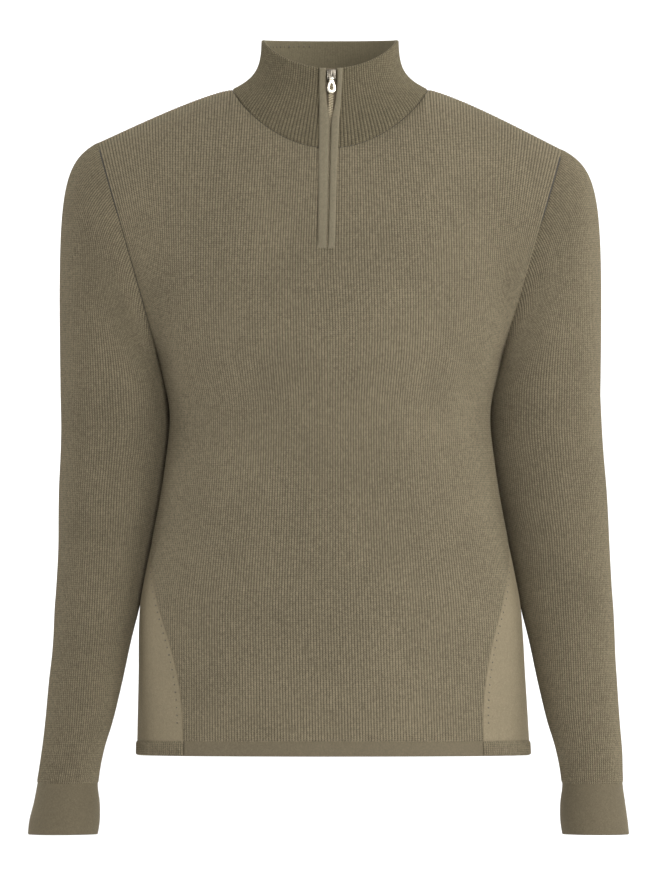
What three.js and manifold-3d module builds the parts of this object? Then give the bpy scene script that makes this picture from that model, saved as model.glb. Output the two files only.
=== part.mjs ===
// A quarter zip sweater in fine ribbed knit, filled out as it is when worn and open at the neck, hem and cuffs.
// Millimetres. X runs to the viewer's right, the front faces -Y and Z is up. Left and right are the wearer's.
// The origin is on the centre line, level with the tops of the shoulder seams, where the wearer's shoulders hold it.
import * as THREE from "three";
import { mergeVertices } from "three/addons/utils/BufferGeometryUtils.js";
import Module from "manifold-3d";

// Driving sizes
const SEAM_GAP = 0.3;
const KNIT = 2; // one layer of ribbed knit
const DOUBLE_KNIT = 2.6; // the collar, cuffs and hem are knitted double
const ARMPIT_Z = -262;
const HEM_SEAM_Z = -644;
const HEM_Z = -659;
const CUFF_SEAM_Z = -687;
const CUFF_Z = -738;
const ZIP_FOOT_Z = -154;
const SLIT_HALF = 6; // half of the cut behind the zip

// The shoulder seam lies a little behind the ridge of the shoulder, so that the front wraps over it.
const SHOULDER_TIP = { x: 232, y: 8, z: -50, tilt: 3.5 }; // the wearer's right shoulder is the higher one
const NECK = { half: 98, front: 74, back: 62, seamY: 6, sideZ: 6, frontDrop: 59, backDrop: 20 };
const COLLAR_TOP = { half: 68, front: 54, back: 58, sideZ: 56, frontDrop: 29 };
const NECK_FRONT_POWER = 1.7;
const COLLAR_DIP_POWER = 1.5;

// How far a panel reaches round the trunk: 0 is the centre line, 1 the side seam and the armhole.
const NECK_REACH = 0.47;
const GUSSET_REACH = 0.635; // where the smooth side panel starts at the hem
const GUSSET_TOP_Z = -440;
const GUSSET_POWER = 2.2; // how late its edge turns outwards

// Level rings of the trunk: half width, depth in front of and behind the side seams, and sideways drift.
const TRUNK_ROWS = [
  { z: -262, half: 172, front: 121, back: 108, drift: 0 },
  { z: -315, half: 160, front: 114, back: 101, drift: 0 },
  { z: -370, half: 164.5, front: 111, back: 98, drift: 0 },
  { z: -424, half: 173.5, front: 111, back: 100, drift: 0 },
  { z: -474, half: 184, front: 112, back: 104, drift: 0 },
  { z: -512, half: 190.5, front: 113, back: 107, drift: 0.3 },
  { z: -584, half: 193.5, front: 113, back: 108, drift: 2 },
  { z: -644, half: 196, front: 112, back: 107, drift: 3.2 },
  { z: -659, half: 196.5, front: 112, back: 107, drift: 3.5 },
];

// The way of the knit above the armpits: how each wale leaves the armpit ring, and the depth and height of the
// place over the shoulder that it bends towards before its top edge.
const FRONT_WALES = [
  { reach: 0, liftX: 0, liftY: -8, liftZ: 75, overX: 0, overY: -96, overZ: -83 },
  { reach: 0.25, liftX: 4, liftY: -8, liftZ: 78, overX: 0, overY: -91, overZ: -72 },
  { reach: 0.36, liftX: 6, liftY: -9, liftZ: 79, overX: 0, overY: -87, overZ: -54 },
  { reach: 0.42, liftX: 7, liftY: -9, liftZ: 80, overX: 0, overY: -81, overZ: -35 },
  { reach: 0.47, liftX: 8, liftY: -10, liftZ: 80, overX: 0, overY: -84, overZ: -13 },
  { reach: 0.6, liftX: 10, liftY: -15, liftZ: 76, overX: 0, overY: -75, overZ: -24 },
  { reach: 0.75, liftX: 12, liftY: -21, liftZ: 70, overX: 0, overY: -68, overZ: -41 },
  { reach: 1, liftX: 4, liftY: -75, liftZ: 25, overX: -5, overY: -60, overZ: -74 },
];
const BACK_WALES = [
  { reach: 0, liftX: 0, liftY: 5, liftZ: 75, overX: 0, overY: 80, overZ: -54 },
  { reach: 0.25, liftX: 4, liftY: 5, liftZ: 78, overX: 0, overY: 80, overZ: -44 },
  { reach: 0.36, liftX: 6, liftY: 6, liftZ: 79, overX: 0, overY: 79, overZ: -32 },
  { reach: 0.42, liftX: 7, liftY: 6, liftZ: 80, overX: 0, overY: 80, overZ: -21 },
  { reach: 0.47, liftX: 8, liftY: 6, liftZ: 80, overX: 0, overY: 88, overZ: -9 },
  { reach: 0.6, liftX: 10, liftY: 11, liftZ: 76, overX: 0, overY: 80, overZ: -22 },
  { reach: 0.75, liftX: 12, liftY: 17, liftZ: 70, overX: 0, overY: 75, overZ: -40 },
  { reach: 1, liftX: 6, liftY: 76, liftZ: 25, overX: -5, overY: 70, overZ: -76 },
];

// Level rings of a sleeve below the cap: distances from the centre line, the middle's depth and half the depth,
// and how much further out the wearer's left sleeve reaches than the right one.
const SLEEVE_ROWS = [
  { z: -300, outer: 269.5, inner: 162.5, middle: 16, deep: 60, more: 1 },
  { z: -330, outer: 270, inner: 160.5, middle: 24, deep: 59, more: 3 },
  { z: -354, outer: 271, inner: 162.5, middle: 26, deep: 58, more: 4 },
  { z: -404, outer: 274, inner: 169.5, middle: 28, deep: 56, more: 6 },
  { z: -454, outer: 275.5, inner: 179.5, middle: 27, deep: 53, more: 8 },
  { z: -492, outer: 277.5, inner: 188.5, middle: 24, deep: 50, more: 8 },
  { z: -512, outer: 279, inner: 193.5, middle: 21, deep: 48, more: 8 },
  { z: -544, outer: 280.5, inner: 199.5, middle: 16, deep: 46, more: 8 },
  { z: -584, outer: 283.5, inner: 208, middle: 8, deep: 42.5, more: 6 },
  { z: -624, outer: 286.5, inner: 217.5, middle: 0, deep: 39, more: 5 },
  { z: -654, outer: 289.5, inner: 226.5, middle: -6, deep: 36.5, more: 4 },
  { z: -687, outer: 292.5, inner: 232, middle: -11, deep: 35, more: 0 },
  { z: -706, outer: 295.5, inner: 230, middle: -13, deep: 37, more: -1 },
  { z: -724, outer: 299, inner: 230, middle: -15, deep: 38.5, more: -3 },
  { z: -738, outer: 300.5, inner: 232, middle: -16, deep: 39, more: -3 },
];
const SLEEVE_CAP_Z = -300;

// Soft folds: where each is, how wide and long, how far it stands out, and how far it leans along its length.
// On the trunk `at` is sideways from the centre line, on a sleeve it is degrees from the inner side towards the front.
const FRONT_FOLDS = [
  { at: -150, z: -250, wide: 13, long: 62, high: 3.2, lean: 0.1 },
  { at: 156, z: -245, wide: 13, long: 66, high: 3.4, lean: -0.12 },
  { at: -132, z: -290, wide: 12, long: 48, high: -2, lean: 0.12 },
  { at: 136, z: -300, wide: 12, long: 52, high: -2.2, lean: -0.1 },
  { at: -3, z: -163, wide: 13, long: 9, high: 1.6, lean: 0 },
  { at: -60, z: -560, wide: 34, long: 70, high: 1.8, lean: 0.1 },
  { at: 84, z: -540, wide: 30, long: 80, high: -1.8, lean: -0.08 },
];
const BACK_FOLDS = [
  { at: -140, z: -240, wide: 14, long: 60, high: 3.4, lean: 0.14 },
  { at: 146, z: -250, wide: 15, long: 66, high: 3, lean: -0.1 },
  { at: 10, z: -352, wide: 60, long: 16, high: 2.6, lean: 0.05 },
  { at: -30, z: -398, wide: 64, long: 18, high: -2.2, lean: -0.04 },
  { at: 20, z: -440, wide: 58, long: 17, high: 2, lean: 0.03 },
];
const SLEEVE_FOLDS = [
  { at: 70, z: -372, wide: 42, long: 13, high: -2.4, lean: 0.35 },
  { at: 50, z: -412, wide: 46, long: 14, high: 2.2, lean: 0.4 },
  { at: 84, z: -452, wide: 40, long: 13, high: -2, lean: 0.3 },
  { at: 130, z: -560, wide: 40, long: 16, high: -1.6, lean: -0.3 },
  { at: 60, z: -608, wide: 44, long: 13, high: 1.8, lean: -0.35 },
  { at: 96, z: -644, wide: 46, long: 12, high: -1.7, lean: 0.3 },
  { at: 250, z: -390, wide: 44, long: 15, high: 2, lean: -0.3 },
  { at: 280, z: -430, wide: 40, long: 14, high: -2, lean: -0.25 },
  { at: 270, z: -630, wide: 44, long: 13, high: 1.6, lean: 0.3 },
];

// The zip drifts a little sideways on its way down.
const ZIP_ROWS = [
  { z: 40, drift: 1.6 },
  { z: 10, drift: 1.2 },
  { z: -54, drift: -0.6 },
  { z: -100, drift: -1.6 },
  { z: -154, drift: -3 },
];
const ZIP_DRIFT_WIDTH = 45;

// The two knitted strips over the zip part near the top: distances of their edges from the zip's line.
const PLACKET_ROWS = [
  { z: 40, inner: 5.6, outer: 12 },
  { z: 8, inner: 5, outer: 11.8 },
  { z: -6, inner: 3.4, outer: 11.4 },
  { z: -24, inner: 0.6, outer: 11 },
  { z: -80, inner: 0.4, outer: 10.4 },
  { z: -160, inner: 0.4, outer: 9 },
];
const PLACKET = { off: 0.35, thick: 1.6, topZ: 40 };
const ZIP_TAPE = { half: 10, off: -3.8, thick: 0.8, topZ: 40 };
const ZIP_CHAIN = { half: 1.9, off: -2.7, thick: 1.5, topZ: 18 };

const RIBS = { high: 0.55, perColumn: 5 };

// Grid steps
const TRUNK_STEPS = 7;
const CAP_STEPS = 7;
const NECK_STEPS = 8;
const ARC_STEPS = 60;

const COLOURS = {
  rib: 0x7b705b,
  smooth: 0x8a7f68,
  band: 0x786d58,
  placket: 0x7f745e,
  tape: 0x6a5f4c,
  chain: 0x8d7a58,
  metal: 0xc9c0ae,
};

const vec = (x, y, z) => new THREE.Vector3(x, y, z);
const mix = (a, b, t) => a + (b - a) * t;

// Every named column of a table at one place along its key column, as a smooth curve through the rows.
function readRow(rows, key, at) {
  const last = rows.length - 1;
  const way = Math.sign(rows[last][key] - rows[0][key]);
  let i = 0;
  while (i < last - 1 && way * (at - rows[i + 1][key]) > 0) i++;
  const span = rows[i + 1][key] - rows[i][key];
  const t = THREE.MathUtils.clamp((at - rows[i][key]) / span, 0, 1);
  const slope = (name, k) => {
    const a = rows[Math.max(k - 1, 0)];
    const b = rows[Math.min(k + 1, last)];
    return ((b[name] - a[name]) / (b[key] - a[key])) * span;
  };
  const found = {};
  for (const name of Object.keys(rows[0])) {
    const [p, q] = [rows[i][name], rows[i + 1][name]];
    const [m, n] = [slope(name, i), slope(name, i + 1)];
    found[name] =
      p + t * (m + t * (3 * (q - p) - 2 * m - n + t * (2 * (p - q) + m + n)));
  }
  return found;
}

function bezier(a, b, c, d, t) {
  const s = 1 - t;
  return vec(0, 0, 0)
    .addScaledVector(a, s * s * s)
    .addScaledVector(b, 3 * s * s * t)
    .addScaledVector(c, 3 * s * t * t)
    .addScaledVector(d, t * t * t);
}

// A place on a quarter of an ellipse, at a share of its length from the end of its depth.
const arcs = new Map();
function quarterArc(half, depth, share) {
  const name = `${half} ${depth}`;
  if (!arcs.has(name)) {
    const lengths = [0];
    for (let k = 1; k <= ARC_STEPS; k++) {
      const [a, b] = [((k - 1) / ARC_STEPS) * (Math.PI / 2), (k / ARC_STEPS) * (Math.PI / 2)];
      const across = half * (Math.sin(b) - Math.sin(a));
      const along = depth * (Math.cos(b) - Math.cos(a));
      lengths.push(lengths[k - 1] + Math.hypot(across, along));
    }
    arcs.set(name, lengths);
  }
  const lengths = arcs.get(name);
  const wanted = share * lengths[ARC_STEPS];
  let k = 0;
  while (k < ARC_STEPS - 1 && lengths[k + 1] < wanted) k++;
  const part = (wanted - lengths[k]) / (lengths[k + 1] - lengths[k]);
  const angle = ((k + part) / ARC_STEPS) * (Math.PI / 2);
  return [half * Math.sin(angle), depth * Math.cos(angle)];
}

const FRONT = -1;
const BACK = 1;

// reach runs from -1 at the wearer's right side to 1 at the left.
function trunkPoint(face, reach, z) {
  const ring = readRow(TRUNK_ROWS, "z", z);
  const depth = face === FRONT ? ring.front : ring.back;
  const [x, y] = quarterArc(ring.half, depth, Math.abs(reach));
  return vec(Math.sign(reach) * x + ring.drift, face * y, z);
}

// The seam round the neck. angle is 0 at the middle of the face and a right angle at the shoulder seam.
function neckPoint(face, angle) {
  const depth = face === FRONT ? NECK.front : NECK.back;
  const drop = face === FRONT ? NECK.frontDrop : NECK.backDrop;
  const c = Math.cos(angle);
  return vec(
    NECK.half * Math.sin(angle),
    face * depth * c + NECK.seamY * (1 - c),
    NECK.sideZ - drop * c ** NECK_FRONT_POWER,
  );
}

function topEdgePoint(face, reach) {
  const r = Math.abs(reach);
  const side = Math.sign(reach) || 1;
  if (r <= NECK_REACH) {
    const p = neckPoint(face, Math.asin(r / NECK_REACH));
    return vec(side * p.x, p.y, p.z);
  }
  const t = (r - NECK_REACH) / (1 - NECK_REACH);
  const crown = 4.2 * Math.sin(Math.PI * t ** 0.65); // the shoulder line is slightly rounded
  return vec(
    side * mix(NECK.half, SHOULDER_TIP.x, t),
    mix(NECK.seamY, SHOULDER_TIP.y, t),
    mix(NECK.sideZ, SHOULDER_TIP.z - side * SHOULDER_TIP.tilt, t) + crown,
  );
}

// The lower edge of a front or back panel: the hem seam, then the slanting edge of the side panel.
function panelFootZ(reach) {
  const past = Math.max(0, Math.abs(reach) - GUSSET_REACH) / (1 - GUSSET_REACH);
  return mix(HEM_SEAM_Z, GUSSET_TOP_Z, past ** (1 / GUSSET_POWER));
}
function gussetReach(z) {
  const up = (z - HEM_SEAM_Z) / (GUSSET_TOP_Z - HEM_SEAM_Z);
  return mix(GUSSET_REACH, 1, up ** GUSSET_POWER);
}

// A panel's outer face. up is 0 at its foot, 1 at the armpits and 2 at the top edge.
function panelPoint(face, reach, up) {
  if (up <= 1) return trunkPoint(face, reach, mix(panelFootZ(reach), ARMPIT_Z, up));
  const wale = readRow(face === FRONT ? FRONT_WALES : BACK_WALES, "reach", Math.abs(reach));
  const side = Math.sign(reach);
  const foot = trunkPoint(face, reach, ARMPIT_Z);
  const top = topEdgePoint(face, reach);
  const lifted = foot.clone().add(vec(side * wale.liftX, wale.liftY, wale.liftZ));
  const tilt = Math.max(0, Math.abs(reach) - NECK_REACH) / (1 - NECK_REACH);
  const over = vec(top.x + side * wale.overX, wale.overY, wale.overZ - side * SHOULDER_TIP.tilt * tilt);
  return bezier(foot, lifted, over, top, up - 1);
}

// A sleeve: side is 1 for the wearer's left. turn is 0 at the underarm, half a turn at the shoulder tip, and passes
// the front first.
function sleeveRing(side, turn, z) {
  const ring = readRow(SLEEVE_ROWS, "z", z);
  const angle = 2 * Math.PI * turn;
  const outer = ring.outer + (side * ring.more) / 2;
  return vec(
    side * ((outer + ring.inner) / 2 - ((outer - ring.inner) / 2) * Math.cos(angle)),
    ring.middle - ring.deep * Math.sin(angle),
    z,
  );
}
function armholePoint(side, turn) {
  return turn <= 0.5 ? panelPoint(FRONT, side, 1 + 2 * turn) : panelPoint(BACK, side, 3 - 2 * turn);
}
// down is 0 at the armhole, 1 at the foot of the cap.
function sleeveCapPoint(side, turn, down) {
  const angle = 2 * Math.PI * turn;
  const high = (1 - Math.cos(angle)) / 2; // 0 at the underarm, 1 at the shoulder
  const across = Math.sin(angle);
  const start = armholePoint(side, turn);
  const end = sleeveRing(side, turn, SLEEVE_CAP_Z);
  const leaving = vec(
    side * (mix(2, 38, high) + 6 * Math.abs(across)),
    -14 * across,
    mix(-12, -21, high) - 22 * Math.abs(across),
  );
  const arriving = vec(side * mix(0, 3, high), 0, mix(14, 204, high ** 1.2));
  return bezier(start, start.clone().add(leaving), end.clone().add(arriving), end, down);
}

// The collar's outer face. turn is 0 at the middle of the front and half a turn at the middle of the back.
function collarPoint(turn, up) {
  const angle = 2 * Math.PI * turn;
  const face = Math.cos(angle) > 0 ? FRONT : BACK;
  const c = Math.abs(Math.cos(angle));
  const side = Math.sign(Math.sin(angle)) || 1;
  const foot = neckPoint(face, Math.acos(Math.min(1, c)));
  foot.x *= side;
  const dip = face === FRONT ? COLLAR_TOP.frontDrop * c ** COLLAR_DIP_POWER : 0;
  const topDepth = face === FRONT ? COLLAR_TOP.front : COLLAR_TOP.back;
  const top = vec(
    COLLAR_TOP.half * Math.sin(angle),
    face * topDepth * c,
    COLLAR_TOP.sideZ - dip,
  );
  const inward = vec(-Math.sin(angle), face === FRONT ? c : -c, 0);
  const flare = mix(face === FRONT ? 8 : 5, 16, 1 - c);
  const rise = mix(24, 8, 1 - c);
  const lifted = foot.clone().addScaledVector(inward, flare).add(vec(0, 0, rise));
  const fallen = top.clone().addScaledVector(inward, 0.5).add(vec(0, 0, -mix(26, 38, 1 - c)));
  return bezier(foot, lifted, fallen, top, up);
}

// Moves a place on the front sideways with the zip's drift.
function leaned(p) {
  if (p.y > 0 || p.z < ZIP_FOOT_Z - 2 * ZIP_DRIFT_WIDTH) return p;
  const fade = Math.exp(-((p.x / ZIP_DRIFT_WIDTH) ** 2));
  const below = THREE.MathUtils.smoothstep(p.z, ZIP_FOOT_Z - 2 * ZIP_DRIFT_WIDTH, ZIP_FOOT_Z);
  p.x += readRow(ZIP_ROWS, "z", THREE.MathUtils.clamp(p.z, ZIP_FOOT_Z, 40)).drift * fade * below;
  return p;
}

function foldHeight(folds, at, z) {
  let sum = 0;
  for (const fold of folds) {
    const along = (z - fold.z) / fold.long;
    const across = (at - fold.at - fold.lean * (z - fold.z)) / fold.wide;
    sum += fold.high * Math.exp(-along * along - across * across);
  }
  return sum;
}

// Sheets: a grid of places on the outer face, with columns side by side and rows from foot to top
function makeSheet(name, colour, thick, columns, rows, place, options = {}) {
  const grid = columns.map((c) => rows.map((r) => leaned(place(c, r))));
  return { name, colour, thick, grid, ...options };
}

function sheetNormals(sheet) {
  const { grid, closed, flipped } = sheet;
  const n = grid.length;
  const column = (i) => (closed ? grid[(i + n) % n] : grid[THREE.MathUtils.clamp(i, 0, n - 1)]);
  return grid.map((points, i) =>
    points.map((_, j) => {
      const across = column(i + 1)[j].clone().sub(column(i - 1)[j]);
      const up = points[Math.min(j + 1, points.length - 1)].clone().sub(points[Math.max(j - 1, 0)]);
      return across.cross(up).normalize().multiplyScalar(flipped ? -1 : 1);
    }),
  );
}

// Where sheets share a seam they share its direction of thickness, so that their walls meet squarely.
function sewNormals(sheets) {
  const sums = new Map();
  const keyOf = (p) => [p.x, p.y, p.z].map((v) => Math.round(v * 50)).join(" ");
  for (const sheet of sheets) {
    sheet.normals = sheetNormals(sheet);
    sheet.grid.forEach((points, i) =>
      points.forEach((p, j) => {
        const key = keyOf(p);
        if (!sums.has(key)) sums.set(key, vec(0, 0, 0));
        sums.get(key).add(sheet.normals[i][j]);
      }),
    );
  }
  for (const sheet of sheets) {
    sheet.normals = sheet.grid.map((points) =>
      points.map((p) => sums.get(keyOf(p)).clone().normalize()),
    );
  }
}

// Draws a sheet's edges in by half a seam gap, square to the edge.
function seamed(sheet) {
  const { grid, closed } = sheet;
  const [n, m] = [grid.length, grid[0].length];
  const column = (i) => (closed ? grid[(i + n) % n] : grid[THREE.MathUtils.clamp(i, 0, n - 1)]);
  const row = (j) => THREE.MathUtils.clamp(j, 0, m - 1);
  return grid.map((points, i) =>
    points.map((p, j) => {
      const q = p.clone();
      const draw = (towards, before, after) => {
        const along = after.clone().sub(before).normalize();
        const inwards = towards.clone().sub(p);
        inwards.addScaledVector(along, -inwards.dot(along)).normalize();
        q.addScaledVector(inwards, SEAM_GAP / 2);
      };
      const [before, after] = [column(i - 1), column(i + 1)];
      if (j === 0) draw(points[1], before[0], after[0]);
      if (j === m - 1) draw(points[m - 2], before[j], after[j]);
      if (!closed && i === 0) draw(after[j], points[row(j - 1)], points[row(j + 1)]);
      if (!closed && i === n - 1) draw(before[j], points[row(j - 1)], points[row(j + 1)]);
      return q;
    }),
  );
}

// A closed wall from a sheet. Ribs are raised in the outer points only, and fade at the sheet's top and foot.
function clothWall(sheet) {
  const { closed, flipped, thick, ribs = 0, ribbed = () => 1, keep = () => true } = sheet;
  const base = seamed(sheet);
  const [n, m] = [base.length, base[0].length];
  const cells = closed ? n : n - 1;
  const stride = ribs ? 2 * ribs : 1;
  const positions = [];
  const faces = [];
  const add = (p) => positions.push(p.x, p.y, p.z) / 3 - 1;
  const face = (a, b, c) => faces.push(...(flipped ? [a, c, b] : [a, b, c]));
  const outerColumns = closed ? cells * stride : cells * stride + 1;
  const outer = [];
  for (let k = 0; k < outerColumns; k++) {
    const [i, part] = [Math.floor(k / stride), (k % stride) / stride];
    const next = (i + 1) % n;
    outer.push(
      base[i].map((p, j) => {
        const q = p.clone();
        const normal = sheet.normals[i][j].clone();
        if (part) {
          q.lerp(base[next][j], part);
          normal.lerp(sheet.normals[next][j], part).normalize();
        }
        const raised = ribs && k % 2 && j > 0 && j < m - 1 ? RIBS.high * ribbed(q) : 0;
        return add(q.addScaledVector(normal, raised));
      }),
    );
  }
  const inner = base.map((points, i) =>
    points.map((p, j) => add(p.clone().addScaledVector(sheet.normals[i][j], -thick))),
  );
  const wrap = (i) => (closed ? (i + cells) % cells : i);
  const kept = (i, j) =>
    (closed || (i >= 0 && i < cells)) && j >= 0 && j < m - 1 && keep(wrap(i), j);
  const outerAt = (k) => outer[closed ? k % outerColumns : k];
  const innerAt = (i) => inner[i % n];
  // The strip that closes a level edge of one cell, from the outer points to the two inner ones.
  const closeLevel = (i, j, atTop) => {
    const turn = (a, b, c) => (atTop ? face(a, b, c) : face(a, c, b));
    const half = Math.ceil(stride / 2);
    for (let k = 0; k < stride; k++) {
      const near = k < half ? innerAt(i)[j] : innerAt(i + 1)[j];
      turn(outerAt(i * stride + k)[j], outerAt(i * stride + k + 1)[j], near);
    }
    turn(innerAt(i)[j], outerAt(i * stride + half)[j], innerAt(i + 1)[j]);
  };
  const closeUpright = (i, j, atEnd) => {
    const [a, b] = [outerAt(i * stride)[j], outerAt(i * stride)[j + 1]];
    const [c, d] = [innerAt(i)[j], innerAt(i)[j + 1]];
    if (atEnd) {
      face(a, c, b);
      face(b, c, d);
    } else {
      face(a, b, c);
      face(b, d, c);
    }
  };
  for (let i = 0; i < cells; i++) {
    for (let j = 0; j < m - 1; j++) {
      if (!kept(i, j)) continue;
      for (let k = i * stride; k < (i + 1) * stride; k++) {
        const [a, b] = [outerAt(k), outerAt(k + 1)];
        face(a[j], b[j], b[j + 1]);
        face(a[j], b[j + 1], a[j + 1]);
      }
      const [c, d] = [innerAt(i), innerAt(i + 1)];
      face(c[j], d[j + 1], d[j]);
      face(c[j], c[j + 1], d[j + 1]);
      if (!kept(i, j - 1)) closeLevel(i, j, false);
      if (!kept(i, j + 1)) closeLevel(i, j + 1, true);
      if (!kept(i - 1, j)) closeUpright(i, j, false);
      if (!kept(i + 1, j)) closeUpright(i + 1, j, true);
    }
  }
  const geometry = new THREE.BufferGeometry();
  geometry.setAttribute("position", new THREE.Float32BufferAttribute(positions, 3));
  geometry.setIndex(faces);
  return geometry;
}

function named(name, geometry, colour, roughness = 0.9, metalness = 0) {
  geometry.computeVertexNormals();
  const material = new THREE.MeshStandardMaterial({ color: colour, roughness, metalness });
  const mesh = new THREE.Mesh(geometry, material);
  mesh.name = name;
  return mesh;
}

const steps = (count, from = 0, to = 1) =>
  Array.from({ length: count + 1 }, (_, k) => mix(from, to, k / count));

// Columns of the front and back: closer at the neck, and on the front one at each edge of the zip's slit
const neckReaches = steps(NECK_STEPS, 0, Math.PI / 2).map((a) => NECK_REACH * Math.sin(a));
const slitReach = (NECK_REACH * SLIT_HALF) / NECK.half;
const halfReaches = [
  ...neckReaches,
  ...steps(2, NECK_REACH, GUSSET_REACH).slice(1),
  mix(GUSSET_REACH, 1, 0.05),
  ...steps(5, GUSSET_REACH, 1).slice(1),
];
const bothSides = (half) => [...half.slice(1).reverse().map((v) => -v), ...half];
const frontReaches = bothSides([0, slitReach, ...halfReaches.slice(1)]);
const backReaches = bothSides(halfReaches).reverse();
// Rows above the armpits, one of them at the foot of the zip
const zipFootShare = (() => {
  let [low, high] = [0, 1];
  while (high - low > 1e-7) {
    const middle = (low + high) / 2;
    if (panelPoint(FRONT, 0, 1 + middle).z < ZIP_FOOT_Z) low = middle;
    else high = middle;
  }
  return low;
})();
const upperShares = [...steps(4, 0, zipFootShare), ...steps(6, zipFootShare, 1).slice(1)];
const panelRows = [...steps(TRUNK_STEPS), ...upperShares.slice(1).map((share) => 1 + share)];

// Folds die out towards the seams.
function foldedPanelPoint(face, folds, reach, up) {
  const p = panelPoint(face, reach, up);
  const edge = Math.min(1, (1 - Math.abs(reach)) * 12, (2 - up) * 6, up * 8);
  p.y += face * foldHeight(folds, p.x, p.z) * Math.max(0, edge);
  return p;
}
function panelSheet(name, face, folds, keep) {
  const reaches = face === FRONT ? frontReaches : backReaches;
  const place = (reach, up) => foldedPanelPoint(face, folds, reach, up);
  return makeSheet(name, COLOURS.rib, KNIT, reaches, panelRows, place, { keep });
}

// The zip's slit: the cells between its two columns, from the zip's foot upwards.
const middleColumn = frontReaches.indexOf(0);
const slitColumns = [middleColumn - 1, middleColumn];
const slitFootRow = panelRows.indexOf(1 + zipFootShare);
const besideSlit = (i, j) => !(slitColumns.includes(i) && j >= slitFootRow);

// A smooth side panel, from the front's slanting edge round the side seam to the back's.
const gussetHeights = [
  ...halfReaches.filter((r) => r >= GUSSET_REACH && r < 1).map(panelFootZ),
  GUSSET_TOP_Z - 4,
];
const aroundSide = steps(12, -1, 1);
function sidePoint(side, around, z, edgeReach) {
  const reach = 1 - (1 - edgeReach) * Math.abs(around);
  return trunkPoint(around < 0 ? FRONT : BACK, side * reach, z);
}
function sidePanelSheet(name, side) {
  const place = (around, z) => sidePoint(side, around, z, gussetReach(z));
  return makeSheet(name, COLOURS.smooth, KNIT, aroundSide, gussetHeights, place, {
    flipped: side < 0,
  });
}

function hemSheets() {
  const heights = [HEM_Z, HEM_SEAM_Z];
  const betweenSides = (reach) => Math.abs(reach) <= GUSSET_REACH;
  const place = (face) => (reach, z) => trunkPoint(face, reach, z);
  const aside = (side) => (around, z) => sidePoint(side, around, z, GUSSET_REACH);
  const ribHeights = [HEM_Z, HEM_Z + 3, HEM_SEAM_Z - 3, HEM_SEAM_Z];
  const ribbed = { ribs: RIBS.perColumn };
  return [
    makeSheet(
      "hem_front", COLOURS.band, DOUBLE_KNIT, frontReaches.filter(betweenSides), heights, place(FRONT),
    ),
    makeSheet(
      "hem_back", COLOURS.band, DOUBLE_KNIT, backReaches.filter(betweenSides), heights, place(BACK),
    ),
    makeSheet("hem_side_left", COLOURS.band, DOUBLE_KNIT, aroundSide, ribHeights, aside(1), ribbed),
    makeSheet("hem_side_right", COLOURS.band, DOUBLE_KNIT, aroundSide, ribHeights, aside(-1), {
      ...ribbed,
      flipped: true,
    }),
  ];
}

// Sleeves and cuffs: rows run up from the foot of each.
const sleeveTurns = [
  ...upperShares.map((share) => share / 2),
  ...upperShares.slice(1, -1).reverse().map((share) => 1 - share / 2),
];
const SLEEVE_HEIGHTS = [-687, -664, -640, -616, -590, -560, -530, -500, -472, -450, -428, -406, -384, -358, -330];
const CUFF_HEIGHTS = [CUFF_Z, -724, -706, CUFF_SEAM_Z];

// Folds die out at the cuff, and on the inner side that faces the trunk.
function foldedSleevePoint(side, turn, z) {
  const p = sleeveRing(side, turn, z);
  const ring = readRow(SLEEVE_ROWS, "z", z);
  const middleX = (side * (ring.outer + ring.inner)) / 2;
  const outwards = vec(p.x - middleX, p.y - ring.middle, 0).normalize();
  const { smoothstep } = THREE.MathUtils;
  const aboveCuff = smoothstep(z, CUFF_SEAM_Z, CUFF_SEAM_Z + 30);
  const clear = smoothstep(turn, 0.06, 0.14) * (1 - smoothstep(turn, 0.86, 0.94));
  return p.addScaledVector(outwards, foldHeight(SLEEVE_FOLDS, 360 * turn, z) * aboveCuff * clear);
}
function sleeveSheet(name, side) {
  const rows = [
    ...SLEEVE_HEIGHTS.map((z) => (turn) => foldedSleevePoint(side, turn, z)),
    ...steps(CAP_STEPS, 1, 0).map((down) => (turn) => sleeveCapPoint(side, turn, down)),
  ];
  const place = (turn, row) => row(turn);
  const options = { closed: true, flipped: side < 0 };
  return makeSheet(name, COLOURS.rib, KNIT, sleeveTurns, rows, place, options);
}
function cuffSheet(name, side) {
  const place = (turn, z) => sleeveRing(side, turn, z);
  const options = { closed: true, flipped: side < 0 };
  return makeSheet(name, COLOURS.band, DOUBLE_KNIT, sleeveTurns, CUFF_HEIGHTS, place, options);
}

const collarRows = [0, 0.2, 0.42, 0.7, 1];

// The collar shares its foot's places with the neck edges of the front and back.
function collarSheet() {
  const quarter = steps(NECK_STEPS, 0, 0.25);
  const slitTurn = Math.asin(SLIT_HALF / NECK.half) / (2 * Math.PI);
  const turns = [
    slitTurn,
    ...quarter.slice(1),
    ...quarter.slice(1).map((t) => 0.25 + t),
    ...quarter.slice(1).map((t) => 0.5 + t),
    ...quarter.slice(1, -1).map((t) => 0.75 + t),
    1 - slitTurn,
  ];
  const place = (turn, up) => {
    const p = collarPoint(turn, up);
    const atSlit = Math.min(turn, 1 - turn) < slitTurn * 1.01;
    if (atSlit) p.x = Math.sign(p.x) * SLIT_HALF;
    return p;
  };
  const beyondPlacket = (p) => (p.y > 0 ? 1 : THREE.MathUtils.smoothstep(Math.abs(p.x), 12, 16));
  return makeSheet("collar", COLOURS.rib, DOUBLE_KNIT, turns, collarRows, place, {
    ribs: RIBS.perColumn,
    ribbed: beyondPlacket,
  });
}

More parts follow.
